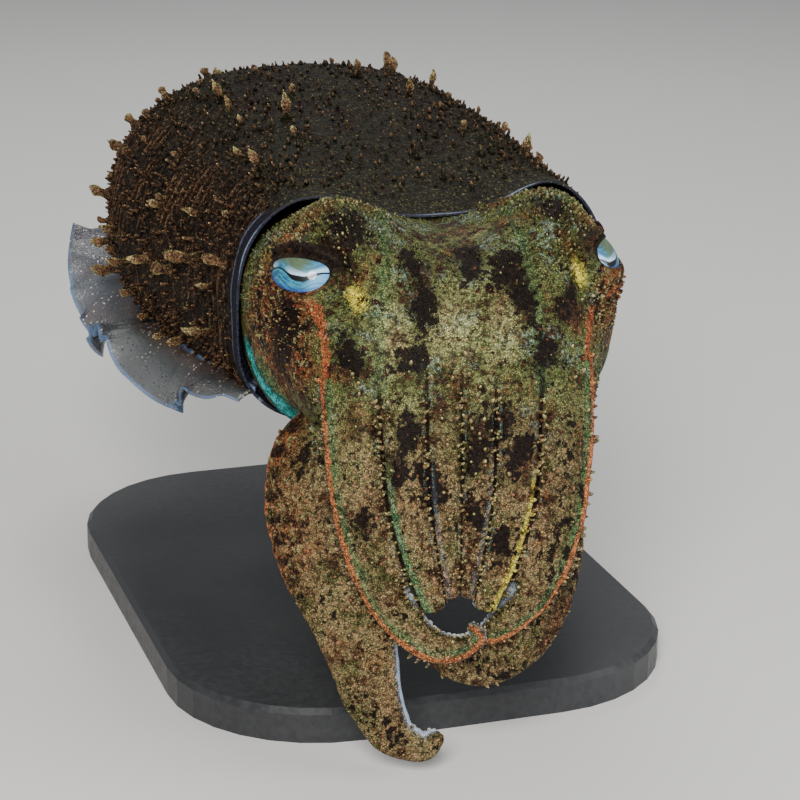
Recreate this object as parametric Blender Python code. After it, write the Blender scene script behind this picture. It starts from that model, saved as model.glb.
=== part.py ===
"""A life-size broadclub cuttlefish on a plain display stand, as a museum would show it.

The animal faces -Y and hovers over its base with its head bent down and its arms drooping.
The mantle is a cup with an oval section, closed at the tail. The head is a short bent loft whose
rear end sits in the mantle's mouth. The head and the arms share one bent axis, so that an arm's
route is told as the length along that axis, the distance to the side and the distance above it.
All sizes are in metres. The origin is the centre of the base's underside, on the floor.
"""

import math
import random

import bmesh
import bpy
import numpy as np
from mathutils import Vector

# Gap that touching solids keep
GAP = 0.0003

# Stand
BASE_LENGTH = 0.200
BASE_WIDTH = 0.150
BASE_THICKNESS = 0.010
BASE_CORNER = 0.045
BASE_CORNER_STEPS = 8
BASE_BEVEL = 0.0015
ROD_RADIUS = 0.004
ROD_PLACES = {"stand_rod_front": -0.022, "stand_rod_rear": 0.058}
ROD_SIDES = 20

# Where the middle between the eyes lies
EYE_LINE_Y = -0.085
EYE_LINE_Z = 0.131

# Mantle: half width and heights above and below its middle line where it is fullest, how it narrows to the
# mouth and the tail, and how high its middle line lies
MANTLE_FRONT_Y = EYE_LINE_Y + 0.024
MANTLE_LENGTH = 0.226
MANTLE_HALF_WIDTH = 0.065
MANTLE_DORSAL = 0.053
MANTLE_VENTRAL = 0.038
MANTLE_MOUTH_WIDTH_SHARE = 0.90
MANTLE_MOUTH_DORSAL_SHARE = 0.70
MANTLE_MOUTH_VENTRAL_SHARE = 0.86
MANTLE_FULLEST = 0.45
MANTLE_TAIL_POWER = 1.85
MANTLE_TAIL_ROUND = 0.58
MANTLE_TAIL_FLATTENING = 1.5
MANTLE_SQUARE_MOUTH = 2.9
MANTLE_SQUARE_BODY = 2.25
MANTLE_LINE_MOUTH = EYE_LINE_Z - 0.021
MANTLE_LINE_BODY = EYE_LINE_Z - 0.024
MANTLE_LINE_TAIL = EYE_LINE_Z - 0.020
# The pointed lobe over the neck, and the notch over the funnel, which both fade within a few rings
LOBE_LENGTH = 0.012
LOBE_SPREAD = math.radians(30)
LOBE_DIP = 0.005
VENTRAL_NOTCH = 0.010
LOBE_FADE_POWER = 4
MANTLE_RINGS = 21
MANTLE_RING_CROWDING = 1.35
MANTLE_SIDES = 34
MANTLE_PROBE = 0.004
MOUTH_DEPTH = 0.002
MOUTH_LIP_SHARE = 0.06

# Axis of head and arms: turn to the animal's right and dip, each by length along the axis
NECK = Vector((0.0, EYE_LINE_Y + 0.022, EYE_LINE_Z - 0.015))
AXIS_START = -0.014
AXIS_END = 0.160
AXIS_STEP = 0.0005
YAW_STATIONS = ((-0.014, 3), (0.0, 6), (0.022, 10), (0.060, 14), (0.160, 15))
PITCH_STATIONS = (
    (-0.014, 0),
    (0.0, 6),
    (0.022, 18),
    (0.045, 46),
    (0.065, 62),
    (0.100, 76),
    (0.160, 88),
)

# Head: length along the axis, half width, height above and below the axis, squareness, and depth of the
# saddle between the brows. The brows are told by their height, their place and how far they spread
HEAD_STATIONS = (
    (-0.012, 0.0460, 0.0200, 0.0300, 2.5, 0.0030),
    (0.000, 0.0505, 0.0245, 0.0360, 2.7, 0.0055),
    (0.012, 0.0512, 0.0325, 0.0385, 2.9, 0.0075),
    (0.022, 0.0492, 0.0345, 0.0380, 2.8, 0.0068),
    (0.032, 0.0452, 0.0310, 0.0340, 2.6, 0.0045),
    (0.040, 0.0415, 0.0268, 0.0295, 2.5, 0.0020),
    (0.046, 0.0380, 0.0246, 0.0270, 2.5, 0.0000),
)
HEAD_RINGS = 13
HEAD_SIDES = 32
SADDLE_HALF_WIDTH = 0.019
BROW_HEIGHT = 0.0050
BROW_SIDE = 0.031
BROW_SPREAD = 0.011
BROW_ALONG = 0.016
BROW_LENGTH = 0.014

# Fins: the line that they grow along, told by the mantle's section angle, and their width by the share of
# the mantle's length
FIN_ANGLE = math.radians(-33)
FIN_FIRST = 0.03
FIN_LAST = 0.985
FIN_WIDTHS = (
    (0.03, 0.006),
    (0.09, 0.016),
    (0.30, 0.021),
    (0.55, 0.024),
    (0.80, 0.024),
    (0.93, 0.018),
    (0.985, 0.007),
)
FIN_ROOT_SUNK = 0.0015
FIN_ROOT_THICKNESS = 0.0020
FIN_EDGE_THICKNESS = 0.0006
FIN_DROOP_FRONT = math.radians(-40)
FIN_DROOP_REAR = math.radians(-6)
FIN_WAVE = math.radians(27)
FIN_WAVES = 3.2
FIN_LEFT_PHASE = 0.9
FIN_BEND_POWER = 0.7
FIN_THINNING_POWER = 0.6
FIN_PROBE = 0.01
FIN_PROBE_END = 0.995
FIN_ROWS = 38
FIN_COLUMNS = 4

# Funnel, under the neck: distance ahead of the mantle's mouth, half width, half height, drop below the axis
FUNNEL_STATIONS = (
    (-0.014, 0.0150, 0.0080, 0.0290),
    (-0.004, 0.0145, 0.0082, 0.0300),
    (0.006, 0.0125, 0.0080, 0.0325),
    (0.016, 0.0100, 0.0074, 0.0360),
    (0.025, 0.0078, 0.0066, 0.0400),
)
FUNNEL_BORE_SHARE = 0.66
FUNNEL_BORE_END_SHARE = 0.53
FUNNEL_BORE_DEPTH = 0.006
FUNNEL_SIDES = 16

# Suckers: a zigzag row under each arm. Spacing along the arm and how much of it is left at the tip, radius
# at the arm's root and tip, height, hollow, sunk root and root width by the radius, and reach to each side by
# the arm's half width, which a keel moves inwards
SUCKER_SPACING = 0.0064
SUCKER_TIP_SPACING_SHARE = 0.62
SUCKER_RADII = (0.0021, 0.0009)
SUCKER_HEIGHT_SHARE = 0.75
SUCKER_SUNK_SHARE = 0.60
SUCKER_HOLLOW_SHARE = 0.20
SUCKER_ROOT_SHARE = 0.75
SUCKER_SIDE_SHARE = 0.38
SUCKER_KEEL_SHIFT = 0.25
SUCKER_SIDES = 5
SUCKER_END_MARGIN = 0.0030

# Papillae of the mantle: section angle, share of the mantle's length at the first and the last, how many,
# length, half width
PAPILLA_ROWS = (
    (-11, 0.10, 0.82, 9, 0.0110, 0.0046),
    (8, 0.08, 0.88, 9, 0.0090, 0.0040),
    (30, 0.12, 0.88, 8, 0.0065, 0.0032),
    (52, 0.18, 0.86, 7, 0.0055, 0.0028),
    (74, 0.26, 0.86, 6, 0.0055, 0.0028),
)
# Rings of a papilla: how far out its middle lies and how far bent back, by its length, and its width
PAPILLA_RINGS = ((0.30, 0.12, 0.95), (0.48, 0.40, 0.62))
PAPILLA_TIP = (0.52, 0.58)
PAPILLA_THICKNESS_SHARE = 0.42
PAPILLA_SUNK = 0.0018
PAPILLA_LEAN = math.radians(38)
PAPILLA_SIDES = 5
PAPILLA_UNEVEN_PLACE = 0.25
PAPILLA_UNEVEN_ANGLE = 5
PAPILLA_UNEVEN_SIZE = (0.8, 1.15)
PAPILLA_SEED = 11

# Eyes: radius, place by the axis, and how far they look ahead and up. A fold of skin rings each of them
EYE_RADIUS = 0.0118
EYE_ALONG = 0.0235
EYE_SIDE = 0.0358
EYE_ABOVE = 0.0185
EYE_FORWARD_SHARE = 0.50
EYE_UP_SHARE = 0.10
EYE_SEGMENTS = 16
EYE_RINGS = 10
LID_RING = 0.0106
LID_RADIUS = 0.0018
LID_SWELLING = 0.0008
LID_FORWARD = 0.0052
LID_SEGMENTS = 20
LID_SIDES = 6

# Arms. The first three pairs lie side by side under one crown: by length along the axis, the crown's
# height, and the distances from the middle at which first and second, second and third, and the third end
ARM_START = HEAD_STATIONS[-1][0] + GAP
ARM_EDGES = (
    (0.046, 0.0232, 0.0090, 0.0213, 0.0360),
    (0.060, 0.0210, 0.0088, 0.0206, 0.0353),
    (0.075, 0.0180, 0.0080, 0.0190, 0.0335),
    (0.090, 0.0140, 0.0054, 0.0147, 0.0292),
    (0.098, 0.0115, 0.0038, 0.0112, 0.0258),
    (0.106, 0.0095, 0.0022, 0.0078, 0.0212),
)
CROWN_REACH = 1.12
ARM_SQUARE = 3.2
ARM_ORAL_SHARE = 0.7
ARM_KEEL_THINNING = 0.6
ARM_RINGS = 12
ARM_SIDES = 10
ARM_ANGLES = [math.tau * (k + 0.5) / ARM_SIDES for k in range(ARM_SIDES)]
ARM_TIP_LENGTH = 0.001
ARM_PROBES = 200
# Lean of the first, second and third arm's upper side away from the middle, and the share of it lost at the
# tips
ARM_LEANS = (math.radians(5), math.radians(14), math.radians(28))
ARM_LEAN_LOSS = 0.4
ARM_THICKNESS = 0.0047
ARM_TIP_THICKNESS = 0.0012
ARM_ENDS = (0.0985, 0.1020)
ARM_STATIONS = 6
THIRD_PACKED_TO = 0.090
# Free width between neighbours, and in how many rounds a section's width is fitted to its place
ARM_PACKING_GAP = 0.0004
ARM_PACKING_ROUNDS = 8
# Where the long arms are divided, by share of their route, and the gap and the rings of each length
ARM_CUTS = {3: (0.0, 0.5, 1.0), 4: (0.0, 0.38, 0.70, 1.0)}
ARM_LENGTH_NAMES = {3: ("base", "tip"), 4: ("base", "middle", "tip")}
ARM_LENGTH_RINGS = {3: 11, 4: 9}
ARM_CUT_GAP = 0.0004
# Front stretches of the third arms and the whole of the fourth, which droop lowest. Each row is length
# along the axis, distance outwards, distance above it, half width, half thickness, lean, keel
THIRD_RIGHT_FRONT = (
    (0.098, 0.0190, 0.0050, 0.0062, 0.0038, 30, 0.2),
    (0.1065, 0.0130, 0.0045, 0.0055, 0.0032, 15, 0.2),
    (0.1115, 0.0060, 0.0050, 0.0047, 0.0026, 8, 0.1),
    (0.1115, -0.0010, 0.0060, 0.0036, 0.0020, 8, 0.0),
    (0.1080, -0.0050, 0.0080, 0.0026, 0.0015, 8, 0.0),
    (0.1045, -0.0015, 0.0095, 0.0015, 0.0009, 8, 0.0),
)
THIRD_LEFT_FRONT = (
    (0.098, 0.0190, 0.0050, 0.0058, 0.0036, 30, 0.2),
    (0.104, 0.0140, 0.0030, 0.0048, 0.0030, 20, 0.1),
    (0.109, 0.0080, 0.0010, 0.0034, 0.0022, 10, 0.0),
    (0.111, 0.0030, 0.0000, 0.0014, 0.0010, 10, 0.0),
)
FOURTH_RIGHT = (
    (0.0463, 0.0265, -0.0130, 0.0085, 0.0050, 22, 0.3),
    (0.056, 0.0345, -0.0110, 0.0130, 0.0048, 24, 0.7),
    (0.070, 0.0370, -0.0100, 0.0140, 0.0044, 22, 0.8),
    (0.085, 0.0350, -0.0090, 0.0140, 0.0042, 18, 0.8),
    (0.100, 0.0295, -0.0080, 0.0125, 0.0040, 12, 0.8),
    (0.115, 0.0250, -0.0070, 0.0100, 0.0036, 8, 0.7),
    (0.129, 0.0215, -0.0060, 0.0078, 0.0032, 4, 0.5),
    (0.1395, 0.0150, -0.0050, 0.0056, 0.0026, 0, 0.3),
    (0.1415, 0.0080, -0.0045, 0.0040, 0.0020, 0, 0.1),
    (0.1370, 0.0040, -0.0040, 0.0022, 0.0012, 0, 0.0),
)
FOURTH_LEFT = (
    (0.0463, 0.0265, -0.0130, 0.0085, 0.0050, 22, 0.3),
    (0.058, 0.0275, -0.0120, 0.0095, 0.0048, 24, 0.5),
    (0.072, 0.0265, -0.0115, 0.0098, 0.0044, 22, 0.6),
    (0.087, 0.0255, -0.0100, 0.0098, 0.0042, 18, 0.7),
    (0.101, 0.0225, -0.0080, 0.0095, 0.0040, 12, 0.7),
    (0.112, 0.0160, -0.0060, 0.0088, 0.0036, 8, 0.6),
    (0.1175, 0.0070, -0.0050, 0.0074, 0.0030, 4, 0.5),
    (0.1165, -0.0020, -0.0040, 0.0050, 0.0022, 0, 0.3),
    (0.1125, -0.0065, -0.0035, 0.0022, 0.0012, 0, 0.1),
)


def interpolated(stations, at):
    """A row of values read between stations, smoothly where the stations bend."""
    rows = np.asarray(stations, float)
    x, values = rows[:, 0], rows[:, 1:]
    slopes = np.gradient(values, x, axis=0)
    at = np.clip(at, x[0], x[-1])
    k = int(np.clip(np.searchsorted(x, at) - 1, 0, len(x) - 2))
    span = x[k + 1] - x[k]
    f = (at - x[k]) / span
    h00, h10 = 2 * f**3 - 3 * f**2 + 1, f**3 - 2 * f**2 + f
    h01, h11 = -2 * f**3 + 3 * f**2, f**3 - f**2
    made = h00 * values[k] + h10 * span * slopes[k] + h01 * values[k + 1] + h11 * span * slopes[k + 1]
    made = [float(value) for value in made]
    return made if len(made) > 1 else made[0]


def smooth_step(x):
    """0 below 0, 1 above 1, and a smooth rise between."""
    x = min(max(x, 0.0), 1.0)
    return x * x * (3 - 2 * x)


def bump(x, middle, spread):
    """A bell of height 1 at the middle."""
    return math.exp(-(((x - middle) / spread) ** 2))


def signed_power(x, power):
    return math.copysign(abs(x) ** power, x)


class Axis:
    """The bent axis of head and arms, added up in short steps on both sides of the neck."""

    def __init__(self):
        self.length = np.arange(AXIS_START, AXIS_END + AXIS_STEP / 2, AXIS_STEP)
        yaw = np.radians([interpolated(YAW_STATIONS, x) for x in self.length])
        pitch = np.radians([interpolated(PITCH_STATIONS, x) for x in self.length])
        self.ahead = np.stack([-np.sin(yaw) * np.cos(pitch), -np.cos(yaw) * np.cos(pitch), -np.sin(pitch)], 1)
        self.side = np.stack([np.cos(yaw), -np.sin(yaw), 0 * yaw], 1)
        self.up = np.cross(self.ahead, self.side)
        steps = (self.ahead[1:] + self.ahead[:-1]) / 2 * AXIS_STEP
        run = np.concatenate([np.zeros((1, 3)), np.cumsum(steps, 0)])
        at_neck = np.array([np.interp(0.0, self.length, run[:, k]) for k in range(3)])
        self.place = run - at_neck + np.array(NECK)

    def _read(self, table, length):
        return Vector([float(np.interp(length, self.length, table[:, k])) for k in range(3)])

    def at(self, length, side=0.0, above=0.0):
        """The point that far along, to the animal's left and above the axis."""
        offset = self.left(length) * float(side) + self.above(length) * float(above)
        return self._read(self.place, length) + offset

    def left(self, length):
        return self._read(self.side, length).normalized()

    def above(self, length):
        return self._read(self.up, length).normalized()

    def forward(self, length):
        return self._read(self.ahead, length).normalized()


AXIS = Axis()


def to_object(name, form, material=None):
    """A bmesh made an object, with its faces turned outwards and made triangles."""
    bmesh.ops.recalc_face_normals(form, faces=form.faces)
    bmesh.ops.triangulate(form, faces=form.faces, quad_method="SHORT_EDGE")
    mesh = bpy.data.meshes.new(name)
    form.to_mesh(mesh)
    form.free()
    made = bpy.data.objects.new(name, mesh)
    bpy.context.scene.collection.objects.link(made)
    if material:
        mesh.materials.append(material)
    return made


def loft(name, rings, start=None, end=None, material=None):
    """A closed skin over rings of points. Each end is drawn to a pole, or else to its ring's middle."""
    form = bmesh.new()
    rows = [[form.verts.new(p) for p in ring] for ring in rings]
    for here, there in zip(rows, rows[1:]):
        for k, corner in enumerate(here):
            after = (k + 1) % len(here)
            form.faces.new((corner, here[after], there[after], there[k]))
    for row, ring, pole in ((rows[0], rings[0], start), (rows[-1], rings[-1], end)):
        middle = form.verts.new(pole if pole is not None else sum(ring, Vector()) / len(ring))
        for k, corner in enumerate(row):
            form.faces.new((corner, row[(k + 1) % len(row)], middle))
    return to_object(name, form, material)


def settled(target):
    """The object's modifiers applied to its own mesh."""
    bpy.context.view_layer.update()
    seen = target.evaluated_get(bpy.context.evaluated_depsgraph_get())
    mesh = bpy.data.meshes.new_from_object(seen)
    target.modifiers.clear()
    target.data = mesh
    return target


def keep_largest(target):
    """Drops every closed surface but the largest, such as a scrap that a cut leaves."""
    form = bmesh.new()
    form.from_mesh(target.data)
    left = set(form.verts)
    groups = []
    while left:
        group, edge = set(), [left.pop()]
        while edge:
            vert = edge.pop()
            group.add(vert)
            near = [e.other_vert(vert) for e in vert.link_edges]
            fresh = [v for v in near if v in left]
            left.difference_update(fresh)
            edge.extend(fresh)
        groups.append(group)
    groups.sort(key=lambda g: (max(v.co.x for v in g) - min(v.co.x for v in g)) * len(g))
    spare = [v for group in groups[:-1] for v in group]
    bmesh.ops.delete(form, geom=spare, context="VERTS")
    form.to_mesh(target.data)
    form.free()
    return target


def join(body, pieces):
    """One Boolean union of a body with closed pieces, which are then removed."""
    if not pieces:
        return body
    group = bpy.data.collections.new(body.name + "_pieces")
    bpy.context.scene.collection.children.link(group)
    for piece in pieces:
        bpy.context.scene.collection.objects.unlink(piece)
        group.objects.link(piece)
    union = body.modifiers.new("union", "BOOLEAN")
    union.operation = "UNION"
    union.operand_type = "COLLECTION"
    union.collection = group
    settled(body)
    for piece in pieces:
        bpy.data.objects.remove(piece)
    bpy.data.collections.remove(group)
    return keep_largest(body)


def cut_clear(target, *others, gap=GAP):
    """Cuts away what lies within the gap of other solids, so that they meet face to face."""
    for other in others:
        form = bmesh.new()
        form.from_mesh(other.data)
        form.normal_update()
        moves = [(v, v.normal * v.calc_shell_factor()) for v in form.verts]
        for vert, move in moves:
            vert.co += move * gap
        cutter = to_object(other.name + "_grown", form)
        cut = target.modifiers.new("cut", "BOOLEAN")
        cut.operation = "DIFFERENCE"
        cut.object = cutter
        settled(target)
        bpy.data.objects.remove(cutter)
    return keep_largest(target)


def material(name, colour, roughness=0.5, metallic=0.0, alpha=1.0):
    made = bpy.data.materials.new(name)
    made.use_nodes = True
    shader = made.node_tree.nodes["Principled BSDF"]
    shader.inputs["Base Color"].default_value = (*colour, 1.0)
    shader.inputs["Roughness"].default_value = roughness
    shader.inputs["Metallic"].default_value = metallic
    shader.inputs["Alpha"].default_value = alpha
    return made


# Mantle


def mantle_profile(share):
    """How full the mantle is at that share of its length: one, then a round tail."""
    if share <= MANTLE_FULLEST:
        return 1.0
    past = (share - MANTLE_FULLEST) / (1 - MANTLE_FULLEST)
    return max(1 - past**MANTLE_TAIL_POWER, 0.0) ** MANTLE_TAIL_ROUND


def mantle_point(share, angle, grow=0.0):
    """A point of the mantle: share 0 at its mouth and 1 at its tail, angle from its left, up and over."""
    opening = smooth_step(share / MANTLE_FULLEST)

    def opened(mouth_value, body_value=1.0):
        return mouth_value + (body_value - mouth_value) * opening

    full = mantle_profile(share)
    flat = full**MANTLE_TAIL_FLATTENING
    half_width = MANTLE_HALF_WIDTH * full * opened(MANTLE_MOUTH_WIDTH_SHARE)
    dorsal = MANTLE_DORSAL * flat * opened(MANTLE_MOUTH_DORSAL_SHARE)
    ventral = MANTLE_VENTRAL * flat * opened(MANTLE_MOUTH_VENTRAL_SHARE)
    square = opened(MANTLE_SQUARE_MOUTH, MANTLE_SQUARE_BODY)
    c, s = math.cos(angle), math.sin(angle)
    x = (half_width + grow) * signed_power(c, 2 / square)
    z = ((dorsal if s > 0 else ventral) + grow) * signed_power(s, 2 / square)
    line = opened(MANTLE_LINE_MOUTH, MANTLE_LINE_BODY)
    past = smooth_step((share - MANTLE_FULLEST) / (1 - MANTLE_FULLEST))
    line += (MANTLE_LINE_TAIL - MANTLE_LINE_BODY) * past
    fade = (1 - share) ** LOBE_FADE_POWER
    lobe = bump(angle, math.pi / 2, LOBE_SPREAD) * fade
    notch = bump(angle, -math.pi / 2, LOBE_SPREAD) * fade
    y = MANTLE_FRONT_Y + MANTLE_LENGTH * share - LOBE_LENGTH * lobe + VENTRAL_NOTCH * notch
    return Vector((x, y, line + z - LOBE_DIP * lobe))


def mantle_normal(share, angle):
    """The way out of the mantle at a point, and the way towards its tail along the skin."""
    step = MANTLE_PROBE
    tailward = (mantle_point(share + step, angle) - mantle_point(share - step, angle)).normalized()
    around = mantle_point(share, angle + step) - mantle_point(share, angle - step)
    return tailward.cross(around).normalized(), tailward


def papilla(place, out, back, length, width):
    """A flat pointed flap of skin, its edge turned to the head, bent back towards the tail."""
    across = out.cross(back)
    bent = out * math.cos(PAPILLA_LEAN) + back * math.sin(PAPILLA_LEAN)

    def reached(outwards, bent_back):
        return place + out * length * outwards + bent * length * bent_back

    levels = [(place - out * PAPILLA_SUNK, 1.0)]
    levels += [(reached(outwards, bent_back), share) for outwards, bent_back, share in PAPILLA_RINGS]
    rings = []
    for hub, share in levels:
        ring = []
        for k in range(PAPILLA_SIDES):
            turn = math.tau * k / PAPILLA_SIDES
            flat = across * math.sin(turn) * PAPILLA_THICKNESS_SHARE + back * math.cos(turn)
            ring.append(hub + flat * width * share)
        rings.append(ring)
    return loft("papilla", rings, end=reached(*PAPILLA_TIP))


def mantle_papillae():
    """Rows of flaps on both sides, each row with its places and sizes a little uneven."""
    draw = random.Random(PAPILLA_SEED)
    made = []
    for angle, first, last, count, length, width in PAPILLA_ROWS:
        for mirrored in (False, True):
            for k in range(count):
                step = k + draw.uniform(-PAPILLA_UNEVEN_PLACE, PAPILLA_UNEVEN_PLACE)
                share = min(max(first + (last - first) * step / (count - 1), first), last)
                turn = math.radians(angle + draw.uniform(-PAPILLA_UNEVEN_ANGLE, PAPILLA_UNEVEN_ANGLE))
                turn = math.pi - turn if mirrored else turn
                size = draw.uniform(*PAPILLA_UNEVEN_SIZE)
                out, back = mantle_normal(share, turn)
                made.append(papilla(mantle_point(share, turn), out, back, length * size, width * size))
    return made


def mantle_shares():
    """Shares of the length at which the rings lie, closer towards the tail, where the mantle narrows fast."""
    return [1 - (1 - k / MANTLE_RINGS) ** MANTLE_RING_CROWDING for k in range(MANTLE_RINGS)]


def mantle_angles(count=MANTLE_SIDES):
    return [-math.pi / 2 + math.tau * k / count for k in range(count)]


def make_mantle(skin):
    rings = [[mantle_point(share, angle) for angle in mantle_angles()] for share in mantle_shares()]
    rim = rings[0]
    middle = sum(rim, Vector()) / len(rim)
    inner = [p.lerp(middle, MOUTH_LIP_SHARE) + Vector((0, MOUTH_DEPTH, 0)) for p in rim]
    pit = middle + Vector((0, 2 * MOUTH_DEPTH, 0))
    tail = mantle_point(1.0, 0.0)
    return loft("mantle", [inner, *rings], start=pit, end=tail, material=skin)


# Head and eyes


def head_point(length, angle):
    """A point of the head's skin: squared oval, with a saddle between two brows on top."""
    half_width, dorsal, ventral, square, saddle = interpolated(HEAD_STATIONS, length)
    c, s = math.cos(angle), math.sin(angle)
    side = half_width * signed_power(c, 2 / square)
    above = (dorsal if s > 0 else ventral) * signed_power(s, 2 / square)
    if s > 0:
        above -= saddle * bump(side, 0.0, SADDLE_HALF_WIDTH) * s
        brow = bump(abs(side), BROW_SIDE, BROW_SPREAD) * bump(length, BROW_ALONG, BROW_LENGTH)
        above += BROW_HEIGHT * brow * s
    return AXIS.at(length, side, above)


def make_head(skin):
    first, last = HEAD_STATIONS[0][0], HEAD_STATIONS[-1][0]
    lengths = [first + (last - first) * k / (HEAD_RINGS - 1) for k in range(HEAD_RINGS)]
    angles = [math.tau * k / HEAD_SIDES for k in range(HEAD_SIDES)]
    rings = [[head_point(length, angle) for angle in angles] for length in lengths]
    return loft("head", rings, material=skin)


def eye_place(sign):
    """Middle of an eyeball and the way it looks. sign is 1 for the left eye, -1 for the right."""
    middle = AXIS.at(EYE_ALONG, sign * EYE_SIDE, EYE_ABOVE)
    level = AXIS.forward(EYE_ALONG)
    level.z = 0
    look = sign * AXIS.left(EYE_ALONG) + EYE_FORWARD_SHARE * level.normalized() + Vector((0, 0, EYE_UP_SHARE))
    return middle, look.normalized()


def make_eye(name, sign, finish):
    middle, look = eye_place(sign)
    form = bmesh.new()
    bmesh.ops.create_uvsphere(form, u_segments=EYE_SEGMENTS, v_segments=EYE_RINGS, radius=EYE_RADIUS)
    turn = look.to_track_quat("Z", "Y").to_matrix().to_4x4()
    turn.translation = middle
    bmesh.ops.transform(form, matrix=turn, verts=form.verts)
    return to_object(name, form, finish)


def make_lid(sign):
    """The fold of skin round an eye, thickest over its top, as a closed ring."""
    middle, look = eye_place(sign)
    up = (Vector((0, 0, 1)) - look * look.z).normalized()
    across = look.cross(up)
    round_it = [math.tau * j / LID_SIDES for j in range(LID_SIDES)]
    form = bmesh.new()
    rows = []
    for k in range(LID_SEGMENTS):
        turn = math.tau * k / LID_SEGMENTS
        out = up * math.cos(turn) + across * math.sin(turn)
        hub = middle + look * LID_FORWARD + out * LID_RING
        radius = LID_RADIUS + LID_SWELLING * math.cos(turn)
        ring = [out * math.cos(a) + look * math.sin(a) for a in round_it]
        rows.append([form.verts.new(hub + p * radius) for p in ring])
    for k, row in enumerate(rows):
        after = rows[(k + 1) % LID_SEGMENTS]
        for j in range(LID_SIDES):
            n = (j + 1) % LID_SIDES
            form.faces.new((row[j], row[n], after[n], after[j]))
    return to_object(f"lid_{sign}", form)


# Arms


def section_point(half_width, thick, angle, keel=0.0):
    """How far out and up a point of an arm's section lies. A keel thins the outer side to an edge."""
    c, s = math.cos(angle), math.sin(angle)
    height = thick * (1 if s > 0 else ARM_ORAL_SHARE) * (1 - ARM_KEEL_THINNING * keel * max(c, 0.0))
    return half_width * signed_power(c, 2 / ARM_SQUARE), height * signed_power(s, 2 / ARM_SQUARE)


def section_reach(half_width, thick, lean, outwards):
    """How far a leaning section reaches outwards (1) or inwards (-1)."""
    points = [section_point(half_width, thick, angle) for angle in ARM_ANGLES]
    return max(outwards * (out * math.cos(lean) + over * math.sin(lean)) for out, over in points)


class Arm:
    """One arm's route, with the sizes and the lean of its section. sign is 1 on the left, -1 on the right."""

    def __init__(self, sign, stations):
        self.sign = sign
        places = [AXIS.at(row[0], sign * row[1], row[2]) for row in stations]
        run = [0.0]
        for here, there in zip(places, places[1:]):
            run.append(run[-1] + (there - here).length)
        self.table = [(at, *place, row[0], *row[3:]) for at, place, row in zip(run, places, stations)]
        self.reach = run[-1]

    def place(self, at):
        return Vector(interpolated(self.table, at)[:3])

    def point(self, at, angle):
        """A point of the arm's skin: angle 0 at its outer side, a quarter turn at its upper side."""
        row = interpolated(self.table, at)
        half_width, thick, lean, keel = row[4:]
        ahead, across, up = self.frame(at, row[3], math.radians(lean))
        out, over = section_point(half_width, thick, angle, keel)
        return Vector(row[:3]) + across * out + up * over

    def frame(self, at, along_axis, lean):
        """Ahead, outwards and up at that run of the route."""
        step = self.reach / ARM_PROBES
        ahead = (self.place(min(at + step, self.reach)) - self.place(max(at - step, 0.0))).normalized()
        above = AXIS.above(along_axis)
        above = (above - ahead * above.dot(ahead)).normalized()
        across = self.sign * above.cross(ahead)
        up = above * math.cos(lean) + across * math.sin(lean)
        return ahead, across * math.cos(lean) - above * math.sin(lean), up


def packed_stations(number, lengths):
    """Stations of the first, second or third arm where it lies between its neighbours."""
    rows = []
    for length in lengths:
        crown, *edges = interpolated(ARM_EDGES, length)
        inner = 0.0 if number == 1 else edges[number - 2]
        outer = edges[number - 1]
        share = (length - ARM_EDGES[0][0]) / (ARM_EDGES[-1][0] - ARM_EDGES[0][0])
        thick = ARM_THICKNESS + (ARM_TIP_THICKNESS - ARM_THICKNESS) * share**2
        lean = ARM_LEANS[number - 1] * (1 - ARM_LEAN_LOSS * share)
        half_width = (outer - inner) / 2
        for _ in range(ARM_PACKING_ROUNDS):
            reach_out = section_reach(half_width, thick, lean, 1)
            reach_in = section_reach(half_width, thick, lean, -1)
            half_width *= (outer - inner - ARM_PACKING_GAP) / (reach_out + reach_in)
        middle = (inner + outer + reach_in - reach_out) / 2
        above = (crown - thick) * math.sqrt(1 - (middle / (CROWN_REACH * edges[2])) ** 2)
        rows.append((length, middle, above, half_width, thick, math.degrees(lean), 0.0))
    return rows


def onto_head_end(p):
    """The point slid along the axis onto the plane on which the arms begin."""
    ahead = AXIS.forward(ARM_START)
    return p - ahead * (p - AXIS.at(ARM_START)).dot(ahead)


def arm_piece(name, arm, start, end, skin, rings=ARM_RINGS, tip=True):
    """The arm between two shares of its route, round at the tip or flat where the next piece goes on."""
    low, high = start * arm.reach, end * arm.reach
    loops = []
    for k in range(rings):
        at = low + (high - low) * k / (rings - 1)
        loops.append([arm.point(at, angle) for angle in ARM_ANGLES])
    if start == 0:
        loops[0] = [onto_head_end(p) for p in loops[0]]
    pole = None
    if tip:
        pole = 2 * arm.place(high) - arm.place(high - ARM_TIP_LENGTH)
    body = loft(name, loops, end=pole, material=skin)
    return join(body, arm_suckers(arm, low, high))


def sucker(place, down, ahead, radius):
    """A short cup with a hollow top, its root sunk in the arm."""
    across = down.cross(ahead)
    rings = []
    for depth, share in ((-SUCKER_SUNK_SHARE, SUCKER_ROOT_SHARE), (SUCKER_HEIGHT_SHARE, 1.0)):
        hub = place + down * radius * depth
        ring = []
        for k in range(SUCKER_SIDES):
            turn = math.tau * k / SUCKER_SIDES
            ring.append(hub + (across * math.cos(turn) + ahead * math.sin(turn)) * radius * share)
        rings.append(ring)
    return loft("sucker", rings, end=place + down * radius * SUCKER_HOLLOW_SHARE)


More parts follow.
